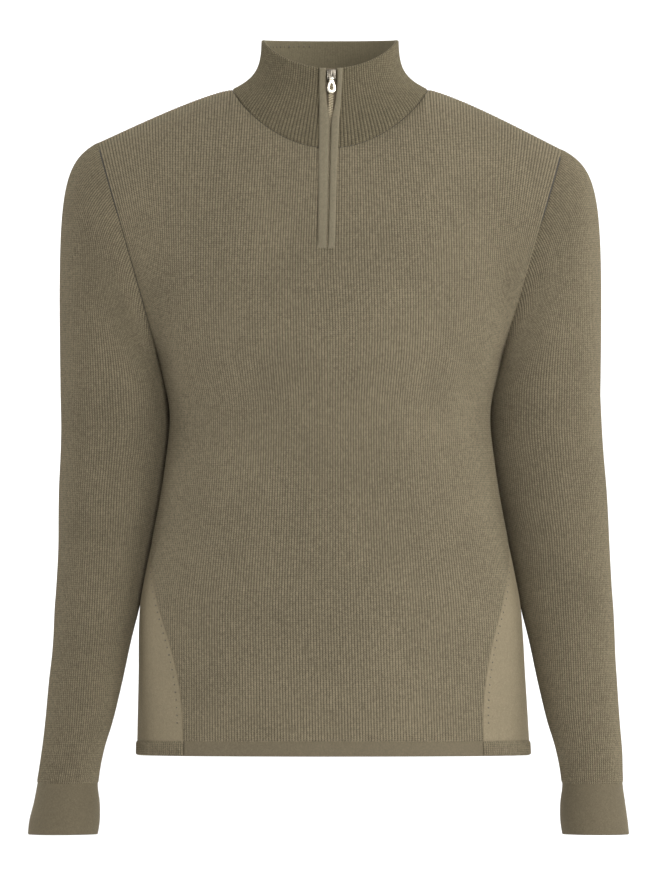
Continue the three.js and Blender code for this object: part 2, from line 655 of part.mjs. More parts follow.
// The zip follows the rows of the front and of the collar, so its strips lie evenly off them.
const zipRows = [
  ...panelRows
    .filter((up) => up >= 1)
    .map((up) => (x) => foldedPanelPoint(FRONT, FRONT_FOLDS, (x * NECK_REACH) / NECK.half, up)),
  ...collarRows
    .slice(1)
    .map((up) => (x) => collarPoint(Math.asin(x / NECK.half) / (2 * Math.PI), up)),
];
// at counts the rows, with a fraction for a place between two of them.
function zipPoint(x, at) {
  const i = Math.min(Math.floor(at), zipRows.length - 2);
  const p = zipRows[i](x).lerp(zipRows[i + 1](x), at - i);
  p.x = x;
  return p;
}
function zipNormal(at) {
  const up = zipPoint(0, Math.min(at + 0.5, zipRows.length - 1)).sub(zipPoint(0, Math.max(at - 0.5, 0)));
  return vec(0, -up.z, up.y).normalize();
}
function zipRowAtHeight(z) {
  let i = 0;
  while (i < zipRows.length - 2 && zipRows[i + 1](0).z < z) i++;
  const [low, high] = [zipRows[i](0).z, zipRows[i + 1](0).z];
  return i + THREE.MathUtils.clamp((z - low) / (high - low), 0, 1);
}

// A strip along the zip, between two distances from its line, lying off the cloth by a given height.
function zipStrip(name, colour, topZ, edgesAt, off, thick) {
  const [from, to] = [zipRowAtHeight(ZIP_FOOT_Z), zipRowAtHeight(topZ)];
  const between = zipRows.map((_, i) => i).filter((i) => i > from + 0.05 && i < to - 0.05);
  const rows = [from, ...between, to];
  const grid = [0, 1, 2].map((k) =>
    rows.map((at) => {
      const [a, b] = edgesAt(zipPoint(0, at).z);
      const p = zipPoint(mix(a, b, k / 2), at);
      return leaned(p.addScaledVector(zipNormal(at), off + thick));
    }),
  );
  const normals = grid.map(() => rows.map(zipNormal));
  return named(name, clothWall({ grid, normals, thick }), colour);
}

function zipMeshes() {
  const placketEdges = (side) => (z) => {
    const { inner, outer } = readRow(PLACKET_ROWS, "z", z);
    return side < 0 ? [-outer, -inner] : [inner, outer];
  };
  const tapeEdges = (side) => () => (side < 0 ? [-ZIP_TAPE.half, -0.2] : [0.2, ZIP_TAPE.half]);
  const chainEdges = () => [-ZIP_CHAIN.half, ZIP_CHAIN.half];
  const strips = [
    { name: "placket_left", colour: COLOURS.placket, edges: placketEdges(1), ...PLACKET },
    { name: "placket_right", colour: COLOURS.placket, edges: placketEdges(-1), ...PLACKET },
    { name: "zip_tape_left", colour: COLOURS.tape, edges: tapeEdges(1), ...ZIP_TAPE },
    { name: "zip_tape_right", colour: COLOURS.tape, edges: tapeEdges(-1), ...ZIP_TAPE },
    { name: "zip_chain", colour: COLOURS.chain, edges: chainEdges, ...ZIP_CHAIN },
  ];
  return strips.map((s) => zipStrip(s.name, s.colour, s.topZ, s.edges, s.off, s.thick));
}

// The slider and its pull, drawn in a frame of their own: X across, -Y out of the cloth and Z up along the zip
const SLIDER = { high: 12, topHalf: 4.4, footHalf: 3.4, off: -0.85, thick: 2.2, centreZ: 19.5 };
const LUG = { out: 2.5, thick: 0.9, radius: 1.3, at: 2.9, z: -3.6 };
const PIN_RADIUS = 0.6;
const PULL = { eyeRadius: 1.9, eyeHole: 1, eyeHalf: 1.9, long: 14.5, half: 4.3, thick: 1.3, holeHalf: 1.7 };

const wasm = await Module();
wasm.setup();
function solidOf(geometry) {
  const bare = geometry.index ? geometry.toNonIndexed() : geometry.clone();
  bare.deleteAttribute("normal");
  bare.deleteAttribute("uv");
  const merged = mergeVertices(bare, 1e-4);
  return new wasm.Manifold(
    new wasm.Mesh({
      numProp: 3,
      vertProperties: merged.attributes.position.array,
      triVerts: new Uint32Array(merged.index.array),
    }),
  );
}
function geometryOf(solid) {
  const mesh = solid.getMesh();
  const geometry = new THREE.BufferGeometry();
  geometry.setAttribute("position", new THREE.Float32BufferAttribute(mesh.vertProperties, 3));
  geometry.setIndex([...mesh.triVerts]);
  return geometry;
}
// An outline in X and Z, given a thickness that starts at a height out of the cloth.
function plate(shape, from, thick) {
  const made = new THREE.ExtrudeGeometry(shape, { depth: thick, bevelEnabled: false, curveSegments: 8 });
  return made.rotateX(Math.PI / 2).translate(0, -from, 0);
}
function crossBar(radius, from, to, sides = 14) {
  return new THREE.CylinderGeometry(radius, radius, to - from, sides)
    .rotateZ(Math.PI / 2)
    .translate((from + to) / 2, 0, 0);
}

function sliderGeometry() {
  const { high, topHalf, footHalf, off, thick } = SLIDER;
  const outline = new THREE.Shape();
  outline.moveTo(-footHalf + 1, -high / 2);
  outline.lineTo(footHalf - 1, -high / 2);
  outline.quadraticCurveTo(footHalf, -high / 2, footHalf, -high / 2 + 1.2);
  outline.lineTo(topHalf, high / 2 - 3);
  outline.quadraticCurveTo(topHalf, high / 2, topHalf - 2.2, high / 2);
  outline.lineTo(-topHalf + 2.2, high / 2);
  outline.quadraticCurveTo(-topHalf, high / 2, -topHalf, high / 2 - 3);
  outline.lineTo(-footHalf, -high / 2 + 1.2);
  outline.quadraticCurveTo(-footHalf, -high / 2, -footHalf + 1, -high / 2);
  let made = solidOf(plate(outline, off, thick));
  const faceY = off + thick;
  for (const side of [-1, 1]) {
    const [near, far] = [side * LUG.at - LUG.thick / 2, side * LUG.at + LUG.thick / 2];
    const ear = crossBar(LUG.radius, near, far).translate(0, -faceY - LUG.out, LUG.z);
    const post = new THREE.BoxGeometry(LUG.thick, LUG.out + 0.4, 2 * LUG.radius)
      .translate(side * LUG.at, 0.2 - faceY - LUG.out / 2, LUG.z);
    made = made.add(solidOf(ear)).add(solidOf(post));
  }
  const pin = crossBar(PIN_RADIUS, -LUG.at, LUG.at).translate(0, -faceY - LUG.out, LUG.z);
  return geometryOf(made.add(solidOf(pin)));
}

// The pull's eye is round the pin, and its pear-shaped loop hangs below it.
function pullGeometry() {
  const { eyeRadius, eyeHole, eyeHalf, long, half, thick, holeHalf } = PULL;
  const outline = new THREE.Shape();
  outline.moveTo(-1.7, -1);
  outline.bezierCurveTo(-2, -4, -half, -long * 0.45, -half, -long + half);
  outline.absarc(0, -long + half, half, Math.PI, 2 * Math.PI, false);
  outline.bezierCurveTo(half, -long * 0.45, 2, -4, 1.7, -1);
  outline.closePath();
  const hole = new THREE.Path();
  hole.moveTo(-0.8, -4.6);
  hole.bezierCurveTo(-1.2, -5.6, -holeHalf, -6.6, -holeHalf, -long + half);
  hole.absarc(0, -long + half, holeHalf, Math.PI, 2 * Math.PI, false);
  hole.bezierCurveTo(holeHalf, -6.6, 1.2, -5.6, 0.8, -4.6);
  hole.closePath();
  outline.holes.push(hole);
  const eye = solidOf(crossBar(eyeRadius, -eyeHalf, eyeHalf, 18));
  const bore = solidOf(crossBar(eyeHole, -eyeHalf - 1, eyeHalf + 1, 14));
  const loop = solidOf(plate(outline, -thick / 2, thick));
  return geometryOf(eye.add(loop).subtract(bore));
}

// Stands a piece on the zip's line, turned to the slope of the cloth there.
function placeOnZip(mesh, at) {
  const normal = zipNormal(at);
  const up = vec(0, normal.z, -normal.y);
  const turned = new THREE.Matrix4().makeBasis(vec(1, 0, 0), normal.clone().negate(), up);
  mesh.quaternion.setFromRotationMatrix(turned);
  mesh.position.copy(leaned(zipPoint(0, at)));
  return mesh;
}

const sweater = new THREE.Group();
const sheets = [
  panelSheet("front", FRONT, FRONT_FOLDS, besideSlit),
  panelSheet("back", BACK, BACK_FOLDS),
  sidePanelSheet("side_panel_left", 1),
  sidePanelSheet("side_panel_right", -1),
  sleeveSheet("sleeve_left", 1),
  sleeveSheet("sleeve_right", -1),
  cuffSheet("cuff_left", 1),
  cuffSheet("cuff_right", -1),
  ...hemSheets(),
  collarSheet(),
];
sewNormals(sheets);
for (const sheet of sheets) sweater.add(named(sheet.name, clothWall(sheet), sheet.colour));
for (const mesh of zipMeshes()) sweater.add(mesh);

const slider = named("zip_slider", sliderGeometry(), COLOURS.metal, 0.35, 1);
placeOnZip(slider, zipRowAtHeight(SLIDER.centreZ));
const pull = named("zip_pull", pullGeometry(), COLOURS.metal, 0.3, 1);
pull.quaternion.copy(slider.quaternion);
pull.position
  .set(0, -SLIDER.off - SLIDER.thick - LUG.out, LUG.z)
  .applyQuaternion(slider.quaternion)
  .add(slider.position);
sweater.add(slider, pull);

export default sweater;
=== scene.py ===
"""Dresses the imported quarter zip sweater: ribbed and smooth knit walls, sewn seams, the zip and the stage.

Shapes are worked out in millimetres and become metres when a mesh is made. X runs to the viewer's right, the
front faces -Y and Z is up. Left and right are the wearer's.
"""
import math

import bmesh
import bpy
import numpy as np
from bpy.props import FloatProperty, FloatVectorProperty, IntProperty, PointerProperty
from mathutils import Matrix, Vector
from mathutils.bvhtree import BVHTree


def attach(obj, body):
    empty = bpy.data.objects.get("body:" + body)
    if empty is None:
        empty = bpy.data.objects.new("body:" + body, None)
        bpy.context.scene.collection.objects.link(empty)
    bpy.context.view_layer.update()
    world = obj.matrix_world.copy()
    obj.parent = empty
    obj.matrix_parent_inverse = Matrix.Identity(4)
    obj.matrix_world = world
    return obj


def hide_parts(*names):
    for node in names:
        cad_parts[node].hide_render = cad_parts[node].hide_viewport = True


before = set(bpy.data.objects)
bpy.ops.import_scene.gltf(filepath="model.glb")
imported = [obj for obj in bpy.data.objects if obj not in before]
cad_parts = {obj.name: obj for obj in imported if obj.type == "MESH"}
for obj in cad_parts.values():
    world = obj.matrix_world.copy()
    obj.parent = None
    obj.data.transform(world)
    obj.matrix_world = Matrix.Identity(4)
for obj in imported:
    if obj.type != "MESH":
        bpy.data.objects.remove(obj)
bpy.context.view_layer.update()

bl_info = {
    "name": "Ribbed quarter zip sweater",
    "version": (1, 0, 0),
    "blender": (4, 5, 0),
    "location": "3D View > Sidebar > Sweater",
    "description": "Dresses the packed sweater with ribbed knit, sewn seams and a zip",
    "category": "Object",
}

MM = 0.001
FRONT = -1
BACK = 1

# Heights and driving sizes, as in the part's source
KNIT = 2.0
DOUBLE_KNIT = 2.6
ARMPIT_Z = -262
HEM_SEAM_Z = -644
HEM_Z = -659
CUFF_SEAM_Z = -687
CUFF_Z = -738
CAP_Z = -300
ZIP_FOOT_Z = -154
NECK_REACH = 0.47
GUSSET_REACH = 0.635
GUSSET_TOP_Z = -440
GUSSET_POWER = 2.2
NECK_FRONT_POWER = 1.7
COLLAR_DIP_POWER = 1.5
ZIP_DRIFT_WIDTH = 45
ZIP_TOP_Z = 40
SHOULDER_TIP = {"x": 232, "y": 8, "z": -50, "tilt": 3.5}
NECK = {"half": 98, "front": 74, "back": 62, "seamY": 6, "sideZ": 6, "frontDrop": 59, "backDrop": 20}
COLLAR_TOP = {"half": 68, "front": 54, "back": 58, "sideZ": 56, "frontDrop": 29}


LEFT_RIGHT = (("left", 1), ("right", -1))  # the wearer's sides and the signs of their x


def table(columns, rows):
    """A table of sizes as one array for each named column."""
    return dict(zip(columns.split(), np.array(rows, float).T))


TRUNK_ROWS = table("z half front back drift", [
    (-262, 172, 121, 108, 0),
    (-315, 160, 114, 101, 0),
    (-370, 164.5, 111, 98, 0),
    (-424, 173.5, 111, 100, 0),
    (-474, 184, 112, 104, 0),
    (-512, 190.5, 113, 107, 0.3),
    (-584, 193.5, 113, 108, 2),
    (-644, 196, 112, 107, 3.2),
    (-659, 196.5, 112, 107, 3.5),
])
WALES = {
    FRONT: table("reach liftX liftY liftZ overX overY overZ", [
        (0, 0, -8, 75, 0, -96, -83),
        (0.25, 4, -8, 78, 0, -91, -72),
        (0.36, 6, -9, 79, 0, -87, -54),
        (0.42, 7, -9, 80, 0, -81, -35),
        (0.47, 8, -10, 80, 0, -84, -13),
        (0.6, 10, -15, 76, 0, -75, -24),
        (0.75, 12, -21, 70, 0, -68, -41),
        (1, 4, -75, 25, -5, -60, -74),
    ]),
    BACK: table("reach liftX liftY liftZ overX overY overZ", [
        (0, 0, 5, 75, 0, 80, -54),
        (0.25, 4, 5, 78, 0, 80, -44),
        (0.36, 6, 6, 79, 0, 79, -32),
        (0.42, 7, 6, 80, 0, 80, -21),
        (0.47, 8, 6, 80, 0, 88, -9),
        (0.6, 10, 11, 76, 0, 80, -22),
        (0.75, 12, 17, 70, 0, 75, -40),
        (1, 6, 76, 25, -5, 70, -76),
    ]),
}
SLEEVE_ROWS = table("z outer inner middle deep more", [
    (-300, 269.5, 162.5, 16, 60, 1),
    (-330, 270, 160.5, 24, 59, 3),
    (-354, 271, 162.5, 26, 58, 4),
    (-404, 274, 169.5, 28, 56, 6),
    (-454, 275.5, 179.5, 27, 53, 8),
    (-492, 277.5, 187.4, 24, 50, 8),
    (-512, 279, 191.4, 21, 48, 8),
    (-544, 280.5, 199.5, 16, 46, 8),
    (-584, 283.5, 208, 8, 42.5, 6),
    (-624, 286.5, 217.5, 0, 39, 5),
    (-654, 289.5, 226.5, -6, 36.5, 4),
    (-687, 292.5, 232, -11, 35, 0),
    (-706, 295.5, 230, -13, 37, -1),
    (-724, 299, 230, -15, 38.5, -3),
    (-738, 300.5, 232, -16, 39, -3),
])
ZIP_ROWS = table("z drift", [(40, 1.6), (10, 1.2), (-54, -0.6), (-100, -1.6), (-154, -3)])
PLACKET_ROWS = table("z inner left right", [
    (40, 5.6, 11.4, 12), (8, 5.2, 10.8, 11.8), (-6, 4, 10, 11.4), (-16, 2.2, 9.6, 11.2), (-25, 0.5, 9.2, 11),
    (-80, 0.4, 8, 10.4), (-160, 0.4, 8, 9.2),
])

# Soft folds and creases: where each is, how wide and long, how far it stands out and how far it leans
FOLDS = {
    FRONT: table("at z wide long high lean", [
        (192, -172, 7, 58, 2.0, 0.37),
        (-186, -185, 7, 60, 1.6, -0.33),
        (-196, -150, 9, 40, -0.8, -0.35),
        (-150, -250, 13, 62, 3.2, 0.1),
        (156, -245, 13, 66, 3.4, -0.12),
        (-132, -290, 12, 48, -2, 0.12),
        (136, -300, 12, 52, -2.2, -0.1),
        (-3, -163, 13, 9, 1.6, 0),
        (-60, -560, 34, 70, 1.8, 0.1),
        (84, -540, 30, 80, -1.8, -0.08),
    ]),
    BACK: table("at z wide long high lean", [
        (-140, -240, 14, 60, 3.4, 0.14),
        (146, -250, 15, 66, 3, -0.1),
        (10, -352, 60, 16, 2.6, 0.05),
        (-30, -398, 64, 18, -2.2, -0.04),
        (20, -440, 58, 17, 2, 0.03),
    ]),
}
SLEEVE_FOLDS = table("at z wide long high lean", [
    (70, -372, 42, 13, -2.4, 0.35),
    (50, -412, 46, 14, 2.2, 0.4),
    (84, -452, 40, 13, -2, 0.3),
    (130, -560, 40, 16, -1.6, -0.3),
    (60, -608, 44, 13, 1.8, -0.35),
    (96, -644, 46, 12, -1.7, 0.3),
    (250, -390, 44, 15, 2, -0.3),
    (280, -430, 40, 14, -2, -0.25),
    (270, -630, 44, 13, 1.6, 0.3),
])

COLUMNS_PER_WALE = 4
STRIDE = 8  # outer columns to one inner column of a wall
EDGE_STEPS = (0, 0.45, 1.0, 1.9, 3.4)  # how far from a seam or fold the first rows lie
SEAM_WIDTH = 1.1  # how far a seam's groove reaches into the cloth
SLIT_WALES = 2  # half of the cut behind the zip
PANEL_SHARE = 0.9996  # of the way to the side seam, where the front and the back stop
PLAIN_WALE = 1.5
PLAIN_STITCH = 1.1
PLACKET_STITCH = 1.0
TAPE_WALE = 1.4
CUFF_WALE = 2.2  # width of a sleeve's wale at the cuff
ARM_WALE = 2.74  # and at the foot of the cap
HEM_SIDE_WALES = 66
COLLAR_HALF_GAP = 5  # from the zip's line to the collar's edge
ZIP_GAP_SHARE = 0.018  # of the neck's round, from its front to where the neck seam starts beside the zip
SMOOTHING_WALES = 5
ARC = np.linspace(0, math.pi / 2, 61)


def lerp(a, b, t):
    return a + (b - a) * t


def smooth_step(low, high, value):
    t = np.clip((value - low) / (high - low), 0, 1)
    return t * t * (3 - 2 * t)


def vec(x, y, z):
    return np.stack(np.broadcast_arrays(x, y, z), -1).astype(float)


def unit(v):
    return v / np.maximum(np.linalg.norm(v, axis=-1, keepdims=True), 1e-9)


def read_row(rows, key, at):
    """Every column of a table at places along its key column, as smooth curves through the rows."""
    at = np.asarray(at, float)
    knots = rows[key]
    way = 1 if knots[-1] > knots[0] else -1
    i = np.clip(np.searchsorted(way * knots, way * at, side="left") - 1, 0, len(knots) - 2)
    span = knots[i + 1] - knots[i]
    t = np.clip((at - knots[i]) / span, 0, 1)
    found = {}
    for name, column in rows.items():
        ends = [(column[b] - column[a]) / (knots[b] - knots[a]) for a, b in ((0, 1), (-2, -1))]
        slope = np.concatenate([ends[:1], (column[2:] - column[:-2]) / (knots[2:] - knots[:-2]), ends[1:]])
        p, q, m, n = column[i], column[i + 1], slope[i] * span, slope[i + 1] * span
        found[name] = p + t * (m + t * (3 * (q - p) - 2 * m - n + t * (2 * (p - q) + m + n)))
    return found


def bezier(a, b, c, d, t):
    t = np.asarray(t, float)[..., None]
    s = 1 - t
    return a * s**3 + b * (3 * s * s * t) + c * (3 * s * t * t) + d * t**3


def quarter_arc(half, depth, share):
    """Places on a quarter of an ellipse, at shares of its length from the end of its depth."""
    half, depth, share = (np.asarray(v, float) for v in np.broadcast_arrays(half, depth, share))
    across = half[..., None] * np.diff(np.sin(ARC))
    along = depth[..., None] * np.diff(np.cos(ARC))
    lengths = np.cumsum(np.hypot(across, along), -1)
    lengths = np.concatenate([np.zeros(half.shape + (1,)), lengths], -1)
    wanted = share * lengths[..., -1]
    k = (lengths[..., 1:-1] < wanted[..., None]).sum(-1)[..., None]
    low, high = (np.take_along_axis(lengths, k + step, -1)[..., 0] for step in (0, 1))
    angle = (k[..., 0] + (wanted - low) / (high - low)) * ARC[1]
    return half * np.sin(angle), depth * np.cos(angle)


def trunk_point(face, reach, z):
    """The trunk below the armpits: reach is 0 at the middle of the front or back and 1 or -1 at the sides."""
    ring = read_row(TRUNK_ROWS, "z", z)
    x, y = quarter_arc(ring["half"], ring["front" if face == FRONT else "back"], np.abs(reach))
    return vec(np.sign(reach) * x + ring["drift"], face * y, z)


def neck_point(face, angle):
    """The neck seam on the wearer's left: angle is 0 at the middle and a quarter turn at the side."""
    depth, drop = (NECK["front"], NECK["frontDrop"]) if face == FRONT else (NECK["back"], NECK["backDrop"])
    c = np.clip(np.cos(angle), 0, 1)
    return vec(
        NECK["half"] * np.sin(angle),
        face * depth * c + NECK["seamY"] * (1 - c),
        NECK["sideZ"] - drop * c**NECK_FRONT_POWER,
    )


def top_edge_point(face, reach):
    """A panel's top edge: the neck seam, then the shoulder seam."""
    r, side = np.abs(reach), np.where(reach < 0, -1, 1)
    on_neck = neck_point(face, np.arcsin(np.minimum(r / NECK_REACH, 1)))
    t = np.maximum(r - NECK_REACH, 0) / (1 - NECK_REACH)
    crown = 4.2 * np.sin(math.pi * t**0.65)
    on_shoulder = vec(
        lerp(NECK["half"], SHOULDER_TIP["x"], t),
        lerp(NECK["seamY"], SHOULDER_TIP["y"], t),
        lerp(NECK["sideZ"], SHOULDER_TIP["z"] - side * SHOULDER_TIP["tilt"], t) + crown,
    )
    found = np.where((r <= NECK_REACH)[..., None], on_neck, on_shoulder)
    return found * vec(side, 1, 1)


def panel_foot(reach):
    """Height of a panel's foot, which rises along the side panel's edge."""
    past = np.maximum(0, np.abs(reach) - GUSSET_REACH) / (1 - GUSSET_REACH)
    return lerp(HEM_SEAM_Z, GUSSET_TOP_Z, past ** (1 / GUSSET_POWER))


def gusset_reach(z):
    """Where the side panel's edge lies at a height."""
    up = np.clip((z - HEM_SEAM_Z) / (GUSSET_TOP_Z - HEM_SEAM_Z), 0, 1)
    return lerp(GUSSET_REACH, 1, up**GUSSET_POWER)


def panel_point(face, reach, up):
    """A panel's outer face: up is 0 at its foot, 1 at the armpits and 2 at the top edge."""
    reach, up = np.broadcast_arrays(np.asarray(reach, float), np.asarray(up, float))
    low = trunk_point(face, reach, lerp(panel_foot(reach), ARMPIT_Z, np.minimum(up, 1)))
    wale, side = read_row(WALES[face], "reach", np.abs(reach)), np.sign(reach)
    foot, top = trunk_point(face, reach, np.full(reach.shape, float(ARMPIT_Z))), top_edge_point(face, reach)
    lifted = foot + vec(side * wale["liftX"], wale["liftY"], wale["liftZ"])
    tilt = SHOULDER_TIP["tilt"] * np.maximum(0, np.abs(reach) - NECK_REACH) / (1 - NECK_REACH)
    over = vec(top[..., 0] + side * wale["overX"], wale["overY"], wale["overZ"] - side * tilt)
    high = bezier(foot, lifted, over, top, np.clip(up - 1, 0, 1))
    return np.where((up <= 1)[..., None], low, high)


def fold_height(folds, at, z):
    """How far a table's folds stand out together."""
    total = 0
    for k in range(len(folds["z"])):
        fold = {name: column[k] for name, column in folds.items()}
        along = (z - fold["z"]) / fold["long"]
        across = (at - fold["at"] - fold["lean"] * (z - fold["z"])) / fold["wide"]
        total = total + fold["high"] * np.exp(-along * along - across * across)
    return total


def folded_panel_point(face, reach, up):
    """A panel's face with its folds, which die out at its edges."""
    p = panel_point(face, reach, up)
    edge = np.minimum.reduce(np.broadcast_arrays(1, (1 - np.abs(reach)) * 12, (2 - up) * 6, up * 8))
    p[..., 1] += face * fold_height(FOLDS[face], p[..., 0], p[..., 2]) * np.maximum(0, edge)
    return p


def side_point(side, around, z, edge_reach):
    """The trunk's side: around is -1 at the front edge and 1 at the back edge."""
    reach = 1 - (1 - edge_reach) * np.abs(around)
    front, back = (trunk_point(face, side * reach, z) for face in (FRONT, BACK))
    return np.where((np.asarray(around) < 0)[..., None], front, back)


def sleeve_ring(side, turn, z):
    """The sleeve below its cap: turn is 0 and 1 at the underarm seam and 0.5 at the outer side."""
    ring, angle = read_row(SLEEVE_ROWS, "z", z), 2 * math.pi * np.asarray(turn, float)
    outer = ring["outer"] + side * ring["more"] / 2
    middle, half = (outer + ring["inner"]) / 2, (outer - ring["inner"]) / 2
    return vec(side * (middle - half * np.cos(angle)), ring["middle"] - ring["deep"] * np.sin(angle), z)


def folded_sleeve_point(side, turn, z):
    """Folds die out at the cuff, and on the inner side that faces the trunk."""
    p, ring = sleeve_ring(side, turn, z), read_row(SLEEVE_ROWS, "z", z)
    middle = side * (ring["outer"] + ring["inner"]) / 2
    outwards = unit(vec(p[..., 0] - middle, p[..., 1] - ring["middle"], 0))
    clear = smooth_step(0.06, 0.14, turn) * (1 - smooth_step(0.86, 0.94, turn))
    high = fold_height(SLEEVE_FOLDS, 360 * turn, z) * clear * smooth_step(CUFF_SEAM_Z, CUFF_SEAM_Z + 30, z)
    return p + outwards * np.asarray(high)[..., None]


def armhole_point(side, turn):
    """The armhole, from the armpit up the front and down the back."""
    front = panel_point(FRONT, np.full(np.shape(turn), float(side)), 1 + 2 * np.minimum(turn, 0.5))
    back = panel_point(BACK, np.full(np.shape(turn), float(side)), 3 - 2 * np.maximum(turn, 0.5))
    return np.where((np.asarray(turn) <= 0.5)[..., None], front, back)


def cap_point(side, turn, down):
    """The sleeve's cap: down is 0 at the armhole and 1 at the foot of the cap."""
    turn, down = np.broadcast_arrays(turn, down)
    angle = 2 * math.pi * turn
    high, across = (1 - np.cos(angle)) / 2, np.sin(angle)
    start, end = armhole_point(side, turn), sleeve_ring(side, turn, np.full(turn.shape, float(CAP_Z)))
    leaving = vec(
        side * (lerp(-2.5, 38, high) + 6 * np.abs(across)),
        -14 * across,
        lerp(-12, -21, high) - 22 * np.abs(across),
    )
    arriving = vec(side * lerp(0, 3, high), 0, lerp(14, 204, high**1.2))
    return bezier(start, start + leaving, end + arriving, end, down)


def collar_point(turn, up):
    """The collar's outer face: turn is 0 at the middle of the front and 0.5 at the middle of the back."""
    turn, up = np.broadcast_arrays(np.asarray(turn, float), np.asarray(up, float))
    angle = 2 * math.pi * turn
    front, c, side = np.cos(angle) > 0, np.abs(np.cos(angle)), np.where(np.sin(angle) < 0, -1, 1)
    quarter = np.arccos(np.minimum(c, 1))
    foot = np.where(front[..., None], neck_point(FRONT, quarter), neck_point(BACK, quarter)) * vec(side, 1, 1)
    face = np.where(front, -1, 1)
    dip = np.where(front, COLLAR_TOP["frontDrop"] * c**COLLAR_DIP_POWER, 0)
    depth = np.where(front, COLLAR_TOP["front"], COLLAR_TOP["back"])
    top = vec(COLLAR_TOP["half"] * np.sin(angle), face * depth * c, COLLAR_TOP["sideZ"] - dip)
    inward = vec(-np.sin(angle), -face * c, 0)
    flare, rise = lerp(np.where(front, 8, 5), 16, 1 - c)[..., None], lerp(24, 8, 1 - c)
    lifted = foot + inward * flare + vec(0, 0, rise)
    fallen = top + inward * 0.5 + vec(0, 0, -lerp(26, 38, 1 - c))
    return bezier(foot, lifted, fallen, top, up)


def leaned(p):
    """Moves places on the front sideways with the zip's drift."""
    drift = read_row(ZIP_ROWS, "z", np.clip(p[..., 2], ZIP_FOOT_Z, ZIP_TOP_Z))["drift"]
    near = np.exp(-((p[..., 0] / ZIP_DRIFT_WIDTH) ** 2)) * (p[..., 1] <= 0)
    near = near * smooth_step(ZIP_FOOT_Z - 2 * ZIP_DRIFT_WIDTH, ZIP_FOOT_Z, p[..., 2])
    moved = p.copy()
    moved[..., 0] += drift * near
    return moved


def run_lengths(grid, axis):
    """How far each place of a grid lies from its first row or column, along the cloth."""
    step = np.linalg.norm(np.diff(grid, axis=axis), axis=-1)
    return np.concatenate([np.zeros_like(np.take(step, [0], axis)), np.cumsum(step, axis)], axis)


def close_steps(length, middle_step, near_foot=True, near_top=True):
    """Shares of a length, close together near its ends where a seam or fold is."""
    foot = EDGE_STEPS if near_foot else [0]
    top = [length - s for s in reversed(EDGE_STEPS)] if near_top else [length]
    count = max(1, round((top[0] - foot[-1]) / middle_step))
    between = np.linspace(foot[-1], top[0], count + 1)[1:-1]
    return np.concatenate([foot, between, top]) / length


def heights_between(low, high, step, **near):
    """Heights of a wall's rows, closer together near its seams."""
    return low + (high - low) * close_steps(high - low, step, **near)


def grid_normals(grid, flipped=False, closed=False):
    """The way out of the cloth at each place of a grid. A closed grid's first and last columns meet."""
    if closed:
        around = np.concatenate([grid[-2:-1], grid, grid[1:2]])
        across = around[2:] - around[:-2]
    else:
        across = np.gradient(grid, axis=0)
    found = unit(np.cross(across, np.gradient(grid, axis=1)))
    return -found if flipped else found


def placed(name, data):
    """A new object in the scene."""
    made = bpy.data.objects.new(name, data)
    bpy.context.scene.collection.objects.link(made)
    return made


def new_mesh(name, points, triangles, values):
    """A mesh object from places in millimetres, with named values on its points."""
    mesh = bpy.data.meshes.new(name)
    mesh.vertices.add(len(points))
    mesh.vertices.foreach_set("co", (points * MM).astype(np.float32).ravel())
    mesh.loops.add(3 * len(triangles))
    mesh.loops.foreach_set("vertex_index", triangles.astype(np.int32).ravel())
    mesh.polygons.add(len(triangles))
    mesh.polygons.foreach_set("loop_start", np.arange(0, 3 * len(triangles), 3, dtype=np.int32))
    for key, data in values.items():
        kind, field = ("FLOAT_VECTOR", "vector") if data.ndim == 2 else ("FLOAT", "value")
        layer = mesh.attributes.new(key, kind, "POINT")
        layer.data.foreach_set(field, data.astype(np.float32).ravel())
    mesh.update(calc_edges=True)
    mesh.shade_smooth()
    return placed(name, mesh)


def weld(made):
    """Joins points that lie in one place and drops the points that no face uses."""
    work = bmesh.new()
    work.from_mesh(made.data)
    bmesh.ops.remove_doubles(work, verts=work.verts, dist=2e-6)
    bmesh.ops.dissolve_degenerate(work, edges=work.edges, dist=1e-7)
    bmesh.ops.triangulate(work, faces=work.faces)
    bmesh.ops.delete(work, geom=[v for v in work.verts if not v.link_faces], context="VERTS")
    work.to_mesh(made.data)
    work.free()
    made.data.update()


